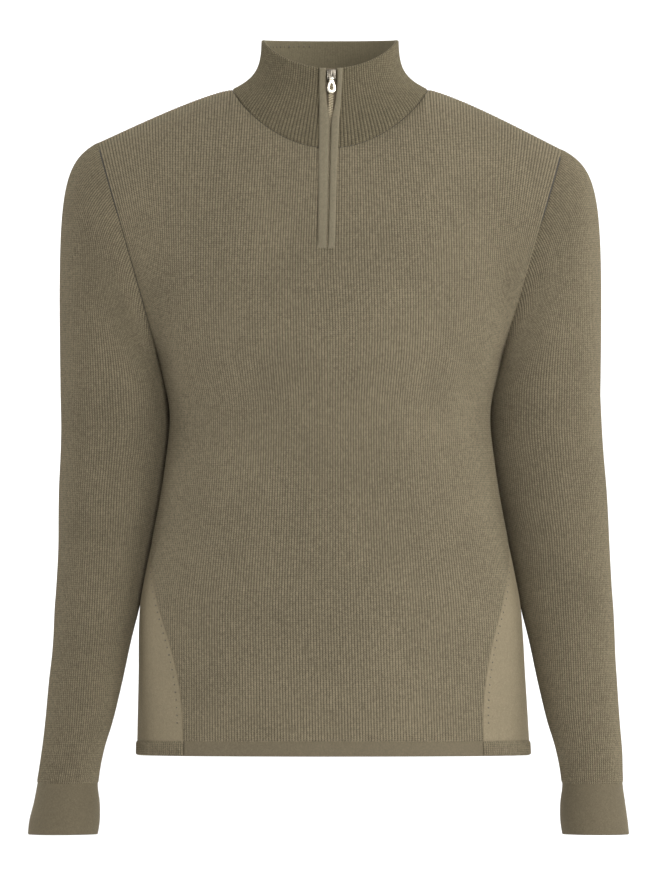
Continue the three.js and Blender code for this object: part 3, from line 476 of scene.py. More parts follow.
def wall_triangles(fine, plain, kept, closed):
    """A wall's faces, from the numbers of its outer places, those of its inner ones and the kept cells."""
    n, m = fine.shape
    kept_plain = kept[::STRIDE]
    faces = []

    def add(mask, *corners):
        faces.append(np.stack([c[mask] for c in corners], -1))

    a, b, c, d = fine[:-1, :-1], fine[1:, :-1], fine[1:, 1:], fine[:-1, 1:]
    add(kept, a, b, c)
    add(kept, a, c, d)
    e, f, g, h = plain[:-1, :-1], plain[1:, :-1], plain[1:, 1:], plain[:-1, 1:]
    add(kept_plain, e, g, f)
    add(kept_plain, e, h, g)
    # Level edges: a fan from the outer places to the two inner ones
    padded = np.zeros((n - 1, m + 1), bool)
    padded[:, 1:-1] = kept
    starts, stops = padded[:, 1:] & ~padded[:, :-1], padded[:, :-1] & ~padded[:, 1:]
    k = np.arange(n - 1)
    half = (STRIDE + 1) // 2
    near = plain[k // STRIDE + (k % STRIDE >= half)]
    add(starts, fine[:-1], near, fine[1:])
    add(stops, fine[:-1], fine[1:], near)
    between = fine[np.arange(len(plain) - 1) * STRIDE + half]
    add(starts[::STRIDE], plain[:-1], plain[1:], between)
    add(stops[::STRIDE], plain[:-1], between, plain[1:])
    if not closed:
        padded = np.zeros((len(plain) + 1, m - 1), bool)
        padded[1:-1] = kept_plain
        o, p, q, r = fine[::STRIDE, :-1], fine[::STRIDE, 1:], plain[:, :-1], plain[:, 1:]
        for mask, turned in ((padded[1:] & ~padded[:-1], False), (padded[:-1] & ~padded[1:], True)):
            add(mask, *((o, q, p) if turned else (o, p, q)))
            add(mask, *((p, q, r) if turned else (p, r, q)))
    return np.concatenate([f.reshape(-1, 3) for f in faces])


def cloth_wall(name, grid, thick, wale, groove, seams="", folds="", ribbed=0.0, flipped=False, closed=False,
               course=None, keep=None, dent=0.0):
    """A closed wall of cloth from a grid of places on its outer face, columns first.

    seams and folds name the edges that are sewn or folded over: foot, top, start, end. groove is how deep
    the seams sink in, one number or one for each edge, and dent is what sinks in elsewhere. wale counts the
    ribs and course is the way up the cloth in millimetres. ribbed is how high the ribs are raised later, as a
    share of their height. keep says which cells are cloth. The inner face has one column for each STRIDE of
    the outer one's.
    """
    n, m = grid.shape[:2]
    normals = grid_normals(grid, flipped, closed)
    up, across = run_lengths(grid, 1), run_lengths(grid, 0)
    from_edge = {"foot": up, "top": up[:, -1:] - up, "start": across, "end": across[-1:] - across}
    sink, lift, raised = np.zeros((n, m)) + dent, np.zeros((n, m)), np.ones((n, m))
    deep = groove if isinstance(groove, dict) else dict.fromkeys(seams.split(), groove)
    for edge in seams.split():
        sink += deep[edge] * np.exp(-((from_edge[edge] / SEAM_WIDTH) ** 2))
        if edge in ("foot", "top"):
            raised *= smooth_step(0.3, 2.6, from_edge[edge])
    for edge in folds.split():
        radius = thick / 2
        short = np.clip(radius - from_edge[edge], 0, radius)
        rounding = radius - np.sqrt(radius * radius - short * short)
        sink += rounding * 0.9
        lift += rounding * 0.9
        raised *= smooth_step(0.2, 1.6, from_edge[edge])
    raised = raised * ribbed
    outer = grid - normals * sink[..., None]
    inner = (grid - normals * (thick - lift)[..., None])[::STRIDE]
    fine = np.arange(n * m).reshape(n, m)
    plain = n * m + np.arange(inner.shape[0] * m).reshape(-1, m)
    kept = np.ones((n - 1, m - 1), bool) if keep is None else keep
    triangles = wall_triangles(fine, plain, kept, closed)
    if flipped:
        triangles = triangles[:, ::-1]

    def both(data):
        rest = data.shape[2:]
        return np.concatenate([data.reshape(-1, *rest), data[::STRIDE].reshape(-1, *rest)])

    values = {
        "wale": both(np.broadcast_to(wale, (n, m))),
        "course": both(up if course is None else course),
        "out": both(normals),
        "raise": np.concatenate([raised.ravel(), np.zeros(plain.size)]),
        "inside": np.concatenate([np.zeros(n * m), np.ones(plain.size)]),
    }
    made = new_mesh(name, np.concatenate([outer.reshape(-1, 3), inner.reshape(-1, 3)]), triangles, values)
    if closed or keep is not None:
        weld(made)
    return made


class Board:
    """Adds nodes to a tree. A value for a socket is a number, a colour or another node's output."""

    def __init__(self, tree):
        self.tree = tree

    def node(self, kind, values=None, **settings):
        made = self.tree.nodes.new(kind)
        for name, value in settings.items():
            setattr(made, name, value)
        for socket, value in (values or {}).items():
            target = made.inputs[socket]
            if isinstance(value, bpy.types.NodeSocket):
                self.tree.links.new(value, target)
            else:
                target.default_value = value
        return made

    def math(self, operation, *values):
        return self.node("ShaderNodeMath", dict(enumerate(values)), operation=operation).outputs[0]

    def place(self):
        return self.node("ShaderNodeTexCoord").outputs["Object"]

    def noise(self, place, scale, detail=2.0, rough=0.5):
        values = {"Vector": place, "Scale": scale, "Detail": detail, "Roughness": rough}
        return self.node("ShaderNodeTexNoise", values).outputs["Fac"]

    def mix(self, fac, a, b, blend="MIX"):
        made = self.node("ShaderNodeMix", {0: fac, 6: a, 7: b}, data_type="RGBA", blend_type=blend)
        return made.outputs[2]

    def bump(self, strength, distance, height):
        values = {"Strength": strength, "Distance": distance, "Height": height}
        return self.node("ShaderNodeBump", values).outputs[0]


def new_material(name):
    """A material, its board and its shader node."""
    material = bpy.data.materials.new(name)
    material.use_nodes = True
    return material, Board(material.node_tree), material.node_tree.nodes["Principled BSDF"]


def shaded(board, shader, values):
    """Sets a shader's sockets, each to a number, a colour or another node's output."""
    for name, value in values.items():
        if isinstance(value, bpy.types.NodeSocket):
            board.tree.links.new(value, shader.inputs[name])
        else:
            shader.inputs[name].default_value = value


def attribute(board, name):
    return board.node("ShaderNodeAttribute", attribute_name=name).outputs["Fac"]


def shade(colour, factor):
    """A colour made lighter or darker, with its alpha."""
    return (*(min(1.0, c * factor) for c in colour), 1.0)


def knit_material(name, colour, ribbed, stitch_mm):
    """Heathered yarn in V-shaped stitches that follow the wales, with painted shade in the furrows between
    the ribs and between the stitch loops.
    """
    material, board, shader = new_material(name)
    place, wale, course = board.place(), attribute(board, "wale"), attribute(board, "course")
    # Two of these numbers set how dark the painted shade is in the rib furrows and between the loops.
    if ribbed:
        mottle, narrow, furrow_shade_strength, loop_gap_shade_strength, sunk, relief = 1.0, 3.0, 0.6, 0.3, -0.5, 0.45
    else:
        mottle, narrow, furrow_shade_strength, loop_gap_shade_strength, sunk, relief = 0.4, 6.0, 0.15, 0.1, -0.35, 0.3
    across = board.math("ABSOLUTE", board.math("MULTIPLY_ADD", board.math("FRACT", wale), 2.0, -1.0))
    leg = board.math("MULTIPLY_ADD", across, -0.55, board.math("DIVIDE", course, stitch_mm))
    loops = board.math("MULTIPLY_ADD", board.math("SINE", board.math("MULTIPLY", leg, 2 * math.pi)), 0.5, 0.5)
    fleck = board.noise(place, 720.0, 3.0, 0.75)
    yarn = board.noise(place, 240.0, 2.0, 0.6)
    cloud = board.noise(place, 14.0, 2.0, 0.5)
    tone = board.math("MULTIPLY_ADD", fleck, 1.9 * mottle, board.math("MULTIPLY", yarn, 0.6 * mottle))
    tone = board.math("MULTIPLY_ADD", cloud, 0.3 * mottle, board.math("ADD", tone, 0.52 - 1.4 * mottle))
    heather = board.node("ShaderNodeValToRGB", {"Fac": tone})
    ramp = heather.color_ramp
    ramp.elements[0].position, ramp.elements[0].color = 0.25, shade(colour, 0.72)
    ramp.elements[1].position, ramp.elements[1].color = 0.8, shade(colour, 1.3)
    ramp.elements.new(0.52).color = shade(colour, 1.0)
    # Painted shade: the colour is darkened in the furrows between the ribs and in the gaps between the stitch
    # loops.
    deep = board.math("POWER", across, narrow)
    furrow_shade = board.math("MULTIPLY", deep, furrow_shade_strength)
    between = board.math("MULTIPLY", board.math("SUBTRACT", 1.0, loops), loop_gap_shade_strength)
    light = board.math("SUBTRACT", 1.0, board.math("ADD", furrow_shade, between))
    painted_shade = board.node("ShaderNodeCombineColor", {0: light, 1: light, 2: light}).outputs[0]
    hollow = board.math("MULTIPLY", deep, sunk)
    fuzz = board.math("MULTIPLY", board.noise(place, 2200.0, 2.0, 0.6), 0.5)
    height = board.math("ADD", board.math("MULTIPLY_ADD", loops, 0.6, hollow), fuzz)
    # The heather is multiplied by the painted shade of the furrows and loop gaps.
    shaded(board, shader, {
        "Base Color": board.mix(1.0, heather.outputs["Color"], painted_shade, "MULTIPLY"),
        "Normal": board.bump(relief, 0.0004, height),
        "Roughness": 0.92,
        "Specular IOR Level": 0.18,
        "Sheen Weight": 0.4,
        "Sheen Roughness": 0.45,
        "Sheen Tint": shade(colour, 1.7),
    })
    return material


def woven_material(name, colour):
    """Zip tape: a fine plain weave along the tape."""
    material, board, shader = new_material(name)
    wale, course = attribute(board, "wale"), attribute(board, "course")
    warp = board.math("SINE", board.math("MULTIPLY", wale, 2 * math.pi))
    weft = board.math("SINE", board.math("MULTIPLY", course, 2 * math.pi / 0.7))
    weave = board.math("MULTIPLY", warp, weft)
    tone = board.math("MULTIPLY_ADD", weave, 0.22, board.noise(board.place(), 700.0, 2.0, 0.6))
    shaded(board, shader, {
        "Base Color": board.mix(tone, shade(colour, 0.7), shade(colour, 1.25)),
        "Normal": board.bump(0.4, 0.0002, weave),
        "Roughness": 0.85,
        "Specular IOR Level": 0.25,
    })
    return material


def coil_material(name, colour):
    """Smooth yarn or coil, slightly uneven in tone."""
    material, board, shader = new_material(name)
    place = board.place()
    tone = board.noise(place, 520.0, 2.0, 0.6)
    shaded(board, shader, {
        "Base Color": board.mix(tone, shade(colour, 0.75), shade(colour, 1.2)),
        "Normal": board.bump(0.15, 0.0002, board.noise(place, 2500.0, 1.0, 0.5)),
        "Roughness": 0.45,
    })
    return material


def metal_material(name, colour):
    """Plated metal with fine rubbed scratches up and down."""
    material, board, shader = new_material(name)
    drawn = board.node("ShaderNodeMapping", {"Vector": board.place(), "Scale": (6.0, 6.0, 1.0)}).outputs[0]
    rubbed = board.noise(drawn, 900.0, 4.0, 0.6)
    rough = board.node("ShaderNodeMapRange", {"Value": rubbed, "To Min": 0.22, "To Max": 0.4}).outputs[0]
    shaded(board, shader, {
        "Base Color": board.mix(rubbed, shade(colour, 0.82), shade(colour, 1.12)),
        "Normal": board.bump(0.08, 0.0001, rubbed),
        "Roughness": rough,
        "Metallic": 1.0,
    })
    return material


def stage_material(name, colour):
    """Matte paper that shows from its front only, so the sweater can be seen from behind it."""
    material, board, shader = new_material(name)
    tone = board.noise(board.place(), 3.0, 2.0, 0.5)
    paper = board.mix(tone, shade(colour, 0.985), shade(colour, 1.0))
    shaded(board, shader, {"Base Color": paper, "Roughness": 0.9, "Specular IOR Level": 0.1})
    behind = board.node("ShaderNodeNewGeometry").outputs["Backfacing"]
    clear = board.node("ShaderNodeBsdfTransparent").outputs[0]
    shown = board.node("ShaderNodeMixShader", {0: behind, 1: shader.outputs[0], 2: clear}).outputs[0]
    board.tree.links.new(shown, board.tree.nodes["Material Output"].inputs["Surface"])
    return material


def new_tree(name, sockets):
    """A geometry tree with named inputs: its board, what it is given and the node for its result."""
    tree = bpy.data.node_groups.new(name, "GeometryNodeTree")
    tree.interface.new_socket("Geometry", in_out="OUTPUT", socket_type="NodeSocketGeometry")
    tree.interface.new_socket("Geometry", in_out="INPUT", socket_type="NodeSocketGeometry")
    for label, default in sockets.items():
        kind = {float: "Float", int: "Int"}.get(type(default), "Material")
        made = tree.interface.new_socket(label, in_out="INPUT", socket_type="NodeSocket" + kind)
        if default is not None:
            made.default_value = default
    board = Board(tree)
    return board, board.node("NodeGroupInput").outputs, board.node("NodeGroupOutput")


def named_value(board, name, kind="FLOAT"):
    return board.node("GeometryNodeInputNamedAttribute", {"Name": name}, data_type=kind).outputs["Attribute"]


def rib_tree():
    """Raises rounded ribs from the wale value stored on a wall's outer points."""
    board, given, result = new_tree(
        "Raise ribs", {"Rib height": 0.0009, "Sunk share": 0.25, "Outer knit": None, "Inner knit": None})
    phase = board.math("FRACT", named_value(board, "wale"))
    from_crest = board.math("ABSOLUTE", board.math("MULTIPLY_ADD", phase, 2.0, -1.0))
    profile = board.math("SUBTRACT", 1.0, board.math("POWER", from_crest, 3.0))
    profile = board.math("SUBTRACT", profile, given["Sunk share"])
    high = board.math("MULTIPLY", profile, given["Rib height"])
    high = board.math("MULTIPLY", high, named_value(board, "raise"))
    out = named_value(board, "out", "FLOAT_VECTOR")
    offset = board.node("ShaderNodeVectorMath", {0: out, "Scale": high}, operation="SCALE").outputs[0]
    moved = board.node("GeometryNodeSetPosition", {"Geometry": given["Geometry"], "Offset": offset})
    real = board.node("GeometryNodeRealizeInstances", {0: moved.outputs[0]})
    outer = board.node("GeometryNodeSetMaterial", {0: real.outputs[0], "Material": given["Outer knit"]})
    inside = board.math("GREATER_THAN", named_value(board, "inside"), 0.99)
    inner = board.node("GeometryNodeSetMaterial", {
        0: outer.outputs[0], "Selection": inside, "Material": given["Inner knit"]})
    board.tree.links.new(inner.outputs[0], result.inputs[0])
    return board.tree


def loop_tree():
    """Sets small yarn loops or zip teeth along lines that store which way is out of the cloth."""
    board, given, result = new_tree("Loops along a line", {
        "Spacing": 0.003, "Length": 0.0022, "Width": 0.0009, "Height": 0.0008, "Turn": 0.0, "Uneven": 0.15,
        "Seed": 7, "Material": None})
    curve = board.node("GeometryNodeMeshToCurve", {"Mesh": given["Geometry"]})
    spaced = board.node("GeometryNodeResampleCurve", {
        "Curve": curve.outputs[0], "Length": given["Spacing"]}, mode="LENGTH")
    along = board.node("GeometryNodeInputTangent").outputs[0]
    out = named_value(board, "out", "FLOAT_VECTOR")
    frame_turn = board.node("FunctionNodeAxesToRotation", {0: out, 1: along},
                            primary_axis="Z", secondary_axis="X").outputs[0]
    own_turn = board.node("FunctionNodeAxisAngleToRotation", {
        "Axis": (0.0, 0.0, 1.0), "Angle": given["Turn"]}).outputs[0]
    rotation = board.node("FunctionNodeRotateRotation", {0: frame_turn, 1: own_turn},
                          rotation_space="LOCAL").outputs[0]
    chance = board.node("FunctionNodeRandomValue", {2: -1.0, 3: 1.0, "Seed": given["Seed"]},
                        data_type="FLOAT")
    grow = board.math("MULTIPLY_ADD", chance.outputs[1], given["Uneven"], 1.0)
    long = board.math("MULTIPLY", given["Length"], grow)
    size = board.node("ShaderNodeCombineXYZ", {0: long, 1: given["Width"], 2: given["Height"]}).outputs[0]
    bead = board.node("GeometryNodeMeshUVSphere", {"Segments": 8, "Rings": 4, "Radius": 0.5})
    set_out = board.node("GeometryNodeInstanceOnPoints", {
        "Points": spaced.outputs[0], "Instance": bead.outputs[0], "Rotation": rotation, "Scale": size})
    real = board.node("GeometryNodeRealizeInstances", {0: set_out.outputs[0]})
    smooth = board.node("GeometryNodeSetShadeSmooth", {0: real.outputs[0]})
    coat = board.node("GeometryNodeSetMaterial", {0: smooth.outputs[0], "Material": given["Material"]})
    board.tree.links.new(coat.outputs[0], result.inputs[0])
    return board.tree


def grown(made, tree, **inputs):
    """Runs a geometry tree on an object and keeps the result as its plain mesh."""
    modifier = made.modifiers.new(tree.name, "NODES")
    modifier.node_group = tree
    for item in tree.interface.items_tree:
        if item.in_out == "INPUT" and item.name in inputs:
            modifier[item.identifier] = inputs[item.name]
    depsgraph = bpy.context.evaluated_depsgraph_get()
    mesh = bpy.data.meshes.new_from_object(made.evaluated_get(depsgraph), preserve_all_data_layers=True,
                                           depsgraph=depsgraph)
    made.modifiers.remove(modifier)
    old, made.data = made.data, mesh
    bpy.data.meshes.remove(old)
    for name in ("out", "raise", "inside"):
        if name in mesh.attributes:
            mesh.attributes.remove(mesh.attributes[name])
    mesh.name = made.name


def finished(made, node=None, body="garment"):
    """Ties a piece to its body and hides the solid it stands for, if it has one."""
    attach(made, body)
    if node:
        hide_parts(node)


def ribbed_piece(made, outer, inner, node):
    """Raises a wall's ribs and gives it the finishes of its two faces."""
    sizes = bpy.context.scene.sweater_knit
    grown(made, trees("Raise ribs"), **{
        "Rib height": sizes.rib_height, "Outer knit": material(outer), "Inner knit": material(inner)})
    finished(made, node)


def beaded(name, lines, spacing, long, wide, high, turn, uneven, finish):
    """Small loops along lines as one object: sizes in millimetres, turn in degrees."""
    made = line_object(name, lines)
    grown(made, trees("Loops along a line"), **{
        "Spacing": spacing * MM, "Length": long * MM, "Width": wide * MM, "Height": high * MM,
        "Turn": math.radians(turn), "Uneven": uneven, "Material": material(finish)})
    return made


def material(name):
    """A finish of the sweater, made when it is first asked for."""
    colours = bpy.context.scene.sweater_colours
    stitch = bpy.context.scene.sweater_knit.stitch_mm
    makers = {
        "rib knit": (knit_material, colours.rib, True, stitch),
        # The collar knit is the rib knit made darker, as painted shade.
        "collar knit": (knit_material, colours.collar, True, stitch),
        "sleeve knit": (knit_material, colours.sleeve, True, stitch),
        "hem knit": (knit_material, colours.hem, False, PLAIN_STITCH),
        "smooth knit": (knit_material, colours.smooth, False, PLAIN_STITCH),
        "band knit": (knit_material, colours.band, False, PLAIN_STITCH),
        "inner knit": (knit_material, colours.inner, False, PLAIN_STITCH),
        "placket knit": (knit_material, colours.placket, False, PLACKET_STITCH),
        "seam yarn": (coil_material, colours.seam),
        "mark yarn": (coil_material, colours.mark),
        "zip tape": (woven_material, colours.tape),
        "zip coil": (coil_material, colours.coil),
        "zip metal": (metal_material, colours.metal),
        "slider metal": (metal_material, colours.slider),
        "bar metal": (metal_material, shade(colours.metal, 0.75)[:3]),
    }
    maker, *values = makers[name]
    return bpy.data.materials.get(name) or maker(name, *values)


def trees(name):
    """A geometry tree, made when it is first asked for."""
    makers = {"Raise ribs": rib_tree, "Loops along a line": loop_tree}
    return bpy.data.node_groups.get(name) or makers[name]()


def wale_numbers(count):
    """Columns from minus to plus half the count of wales."""
    half = count // 2 * COLUMNS_PER_WALE
    return np.arange(-half, half + 1) / COLUMNS_PER_WALE


def zip_foot_share():
    """How far up the front's middle, from the armpits' height to the neck seam, the zip begins."""
    shares = np.linspace(0, 1, 4001)
    heights = panel_point(FRONT, np.zeros(4001), 1 + shares)[:, 2]
    return float(np.interp(ZIP_FOOT_Z, heights, shares))


def armhole_groove(turn, side):
    """How deep the armhole seam sinks in: all the way down on the right, near the shoulder on the left."""
    turn = np.minimum(turn, 1 - turn)
    shoulder_end = 1 - smooth_step(0.458, 0.475, turn)
    if side < 0:
        return -0.2 + 0.7 * smooth_step(0.02, 0.08, turn) * shoulder_end
    welt = 0.6 * smooth_step(0.04, 0.1, turn) * (1 - smooth_step(0.24, 0.3, turn))
    return -0.2 - welt + 0.9 * smooth_step(0.28, 0.33, turn) * shoulder_end


def beside_zip(grid):
    """The cloth is drawn in along the outer edges of the zip's strips, more on the wearer's right."""
    x, z = grid[..., 0], grid[..., 2]
    row = read_row(PLACKET_ROWS, "z", np.clip(z, PLACKET_ROWS["z"][-1], ZIP_TOP_Z))
    centre = read_row(ZIP_ROWS, "z", np.clip(z, ZIP_FOOT_Z, ZIP_TOP_Z))["drift"]
    on_right = x < centre
    depth = np.where(on_right, 1.3 + 0.8 * smooth_step(-36, -24, z), 0.5) * (grid[..., 1] < 0)
    edge = np.where(on_right, row["right"], row["left"])
    wide = np.where(on_right, 1.3 + 1.2 * smooth_step(-36, -24, z), 1.3)
    shown = smooth_step(ZIP_FOOT_Z + 2, ZIP_FOOT_Z + 12, z)
    return shown * depth * np.exp(-(((np.abs(x - centre) - edge - 0.7) / wide) ** 2))


def evened(grid, ups, numbers):
    """Evens a panel across its wales below the neck's corners, keeping its outline."""
    spread = SMOOTHING_WALES * COLUMNS_PER_WALE
    span = 3 * spread
    weights = np.exp(-((np.arange(-span, span + 1) / spread) ** 2) / 2)
    weights /= weights.sum()

    def blurred(values):
        before = 2 * values[:1] - values[span:0:-1]
        after = 2 * values[-1:] - values[-2:-span - 2:-1]
        wide = np.concatenate([before, values, after])
        summed = np.zeros_like(values)
        for offset, weight in enumerate(weights):
            summed += weight * wide[offset:offset + len(values)]
        return summed

    soft = blurred(grid)
    soft = soft + blurred(grid - soft)
    inside = smooth_step(0, 10, np.abs(numbers[-1]) - np.abs(numbers))[:, None]
    up = smooth_step(1.0, 1.2, ups) * (1 - smooth_step(1.78, 1.97, ups))
    return lerp(grid, soft, (inside * up[None, :])[..., None])


def body_panel(name, face, wales):
    """The front or the back. The front has a slit above the zip's foot."""
    foot = zip_foot_share()
    low = close_steps(ARMPIT_Z - HEM_SEAM_Z, 8, near_top=False)
    up_to_zip = np.linspace(0, foot, 15)[1:]
    above = foot + (1 - foot) * close_steps(130, 8, near_foot=False)[1:]
    ups = np.concatenate([low, 1 + up_to_zip, 1 + above])
    numbers = wale_numbers(wales) * (1 if face == FRONT else -1)
    reach = (numbers / (wales // 2) * PANEL_SHARE)[:, None]
    grid = leaned(evened(folded_panel_point(face, reach, ups[None, :]), ups, numbers))
    course = run_lengths(grid, 1)
    course = course - course[:, [len(low) - 1]]
    keep = None
    if face == FRONT:
        keep = np.ones((len(numbers) - 1, len(ups) - 1), bool)
        middle = len(numbers) // 2
        cut = SLIT_WALES * COLUMNS_PER_WALE
        keep[middle - cut:middle + cut, len(low) + len(up_to_zip) - 1:] = False
    groove = {"foot": 0.12, "top": 0.35}
    for edge, side in (("start", face), ("end", -face)):
        groove[edge] = np.where(ups > 1, armhole_groove((ups - 1) / 2, side), 0.25)[None, :]
    return cloth_wall(name, grid, KNIT, numbers[:, None], groove, seams="foot top start end", ribbed=1.0,
                      course=course, keep=keep, dent=beside_zip(grid) if face == FRONT else 0.0)


class KnitSizes(bpy.types.PropertyGroup):
    rib_height: FloatProperty(name="Rib height", description="How far a rib stands above its furrow",
                              default=0.0009, min=0, unit="LENGTH")
    stitch_mm: FloatProperty(name="Stitch height", description="Height of one stitch in millimetres",
                             default=1.9, min=0.5)
    trunk_wales: IntProperty(name="Wales across a panel", description="Ribs across the front or the back",
                             default=168, min=16)
    collar_wales: IntProperty(name="Wales round the collar", description="Ribs round the collar", default=160,
                              min=16)
    sleeve_wales: IntProperty(name="Wales round a sleeve", description="Ribs round the top of a sleeve",
                              default=130, min=16)


def colour_of(what, label, *default):
    """The setting for one colour."""
    return FloatVectorProperty(name=label, description="Colour of " + what, subtype="COLOR", default=default,
                               min=0, max=1)


class KnitColours(bpy.types.PropertyGroup):
    rib: colour_of("the ribbed panels", "Ribbed knit", 0.205, 0.172, 0.112)
    # The collar's colour is a darker copy of the ribbed knit's colour: painted shade.
    collar: colour_of("the ribbed collar", "Collar", 0.148, 0.124, 0.077)
    sleeve: colour_of("the ribbed sleeves", "Sleeves", 0.182, 0.152, 0.098)
    hem: colour_of("the hem's plain bands", "Hem", 0.142, 0.118, 0.077)
    smooth: colour_of("the smooth side panels", "Side panels", 0.222, 0.185, 0.12)
    band: colour_of("the cuffs and the hem's inner face", "Bands", 0.128, 0.106, 0.068)
    inner: colour_of("the knit's inner face", "Inside", 0.148, 0.126, 0.079)
    placket: colour_of("the strips beside the zip", "Strips", 0.176, 0.152, 0.102)
    # The linking stitches are real, but their near black colour is painted shade along the seams.
    seam: colour_of("the linking stitches", "Seam yarn", 0.03, 0.024, 0.015)
    mark: colour_of("the small transfer marks", "Transfer marks", 0.085, 0.068, 0.042)
    tape: colour_of("the zip's tape", "Zip tape", 0.15, 0.12, 0.08)
    coil: colour_of("the zip's teeth", "Zip coil", 0.62, 0.53, 0.36)
    metal: colour_of("the zip's pull", "Pull", 0.86, 0.8, 0.67)
    slider: colour_of("the zip's slider", "Slider", 0.07, 0.062, 0.05)


class StageSettings(bpy.types.PropertyGroup):
    distance: FloatProperty(name="Camera distance", description="From the camera to the sweater's middle",
                            default=20.0, min=1, unit="LENGTH")
    view_height: FloatProperty(name="View height", description="Height of the picture at the sweater",
                               default=0.877, min=0.1, unit="LENGTH")
    surround: FloatProperty(name="Surrounding light", description="Strength of the light from all round",
                            default=0.24, min=0)


class SWEATER_OT_body_panels(bpy.types.Operator):
    """Knit the ribbed front and back panels"""
    bl_idname = "sweater.body_panels"
    bl_label = "Front and back"

    def execute(self, context):
        sizes = context.scene.sweater_knit
        for name, face, node in (("front_panel", FRONT, "front"), ("back_panel", BACK, "back")):
            made = body_panel(name, face, sizes.trunk_wales)
            ribbed_piece(made, "rib knit", "inner knit", node)
        return {"FINISHED"}


class SWEATER_OT_side_panels(bpy.types.Operator):
    """Knit the smooth triangular panels at the lower sides"""
    bl_idname = "sweater.side_panels"
    bl_label = "Side panels"

    def execute(self, context):
        for word, side in LEFT_RIGHT:
            name = "side_panel_" + word
            heights = HEM_SEAM_Z + (GUSSET_TOP_Z - 3 - HEM_SEAM_Z) * close_steps(200, 5)
            around = np.linspace(-1, 1, 97)[:, None]
            z = np.broadcast_to(heights[None, :], (len(around), len(heights)))
            grid = side_point(side, around * 0.998, z, gusset_reach(z) + 0.0005)
            wale = run_lengths(grid, 0) / PLAIN_WALE
            wale = wale - wale[len(wale) // 2]
            made = cloth_wall(name + "_knit", grid, KNIT, wale, 0.12, seams="foot top start end",
                              flipped=side < 0)
            ribbed_piece(made, "smooth knit", "inner knit", name)
        return {"FINISHED"}


class SWEATER_OT_hem(bpy.types.Operator):
    """Knit the hem bands: plain at the front and back, ribbed under the side panels"""
    bl_idname = "sweater.hem"
    bl_label = "Hem"

    def execute(self, context):
        heights = heights_between(HEM_Z, HEM_SEAM_Z, 3)[None, :]
        for name, face in (("hem_front", FRONT), ("hem_back", BACK)):
            reach = np.linspace(-GUSSET_REACH, GUSSET_REACH, 161)[:, None] * -face * 0.9995
            grid = trunk_point(face, *np.broadcast_arrays(reach, heights))
            made = cloth_wall(name + "_band", grid, DOUBLE_KNIT, run_lengths(grid, 0) / PLAIN_WALE, 0.1,
                              seams="top start end", folds="foot")
            ribbed_piece(made, "hem knit", "band knit", name)
        for word, side in LEFT_RIGHT:
            name = "hem_side_" + word
            numbers = wale_numbers(HEM_SIDE_WALES)[:, None]
            around, z = np.broadcast_arrays(numbers / (HEM_SIDE_WALES / 2), heights)
            grid = side_point(side, around, z, GUSSET_REACH + 0.0004)
            made = cloth_wall(name + "_band", grid, DOUBLE_KNIT, numbers, 0.1, seams="top start end",
                              folds="foot", ribbed=1.9, flipped=side < 0)
            ribbed_piece(made, "rib knit", "band knit", name)
        return {"FINISHED"}


def ring_columns(side, z, distance):
    """Turns round a sleeve's ring at distances from the shoulder line, held at the underarm seam."""
    ring = {name: float(column) for name, column in read_row(SLEEVE_ROWS, "z", float(z)).items()}
    half, deep = (ring["outer"] + side * ring["more"] / 2 - ring["inner"]) / 2, ring["deep"]
    angle = np.linspace(0, math.pi, 241)
    step = np.hypot(half * np.diff(np.cos(angle)), deep * np.diff(np.sin(angle)))
    lengths = np.concatenate([[0], np.cumsum(step)])
    held = np.minimum(np.abs(distance), lengths[-1])
    turn = 0.5 + np.sign(distance) * np.interp(held, lengths, angle) / (2 * math.pi)
    return turn, held, lengths[-1]


def even_armhole_turns(side, shares):
    """Turns where the wales meet the armhole seam: close over the shoulder, spread out at the underarm."""
    turns = np.linspace(0, 1, 801)
    length = run_lengths(armhole_point(side, turns), 0)
    middle, s = length[400], np.abs(shares)
    along = 0.7 * s + 0.3 * s**6
    wanted = np.where(shares < 0, middle * (1 - along), middle + (length[-1] - middle) * along)
    return np.interp(wanted, length, turns)


def sleeve_grid(side, wales):
    """Wales run parallel to the shoulder line and stop at the underarm seam one by one towards the cuff."""
    numbers = wale_numbers(wales)
    places, counted = [], []
    for z in heights_between(CUFF_SEAM_Z, CAP_Z, 8, near_top=False):
        _, _, half_round = ring_columns(side, z, numbers)
        share = (z - CUFF_SEAM_Z) / (CAP_Z - CUFF_SEAM_Z)
        pitch = max(lerp(CUFF_WALE, ARM_WALE, share), half_round / (wales / 2))
        turn, held, _ = ring_columns(side, z, numbers * pitch)
        places.append(folded_sleeve_point(side, turn, np.full(turn.shape, float(z))))
        counted.append(held / pitch)
    downs = 1 - close_steps(200, 7.4, near_foot=False)[1:]
    evenly = even_armhole_turns(side, numbers / numbers[-1])
    spread = lerp(evenly[:, None], turn[:, None], smooth_step(0, 1, downs)[None, :])
    cap = cap_point(side, spread, downs[None, :])
    grid = np.concatenate([np.stack(places, 1), cap], 1)
    wale = np.concatenate([np.stack(counted, 1), np.repeat(np.abs(numbers)[:, None], len(downs), 1)], 1)
    return grid, wale, evenly


class SWEATER_OT_sleeves(bpy.types.Operator):
    """Knit the ribbed sleeves"""
    bl_idname = "sweater.sleeves"
    bl_label = "Sleeves"

    def execute(self, context):
        for word, side in LEFT_RIGHT:
            name = "sleeve_" + word
            grid, wale, turns = sleeve_grid(side, context.scene.sweater_knit.sleeve_wales)
            groove = {"foot": 0.12, "top": armhole_groove(turns, side)[:, None]}
            made = cloth_wall(name + "_knit", grid, KNIT, wale, groove, seams="foot top", ribbed=1.0,
                              flipped=side < 0, closed=True)
            ribbed_piece(made, "sleeve knit", "inner knit", name)
        return {"FINISHED"}


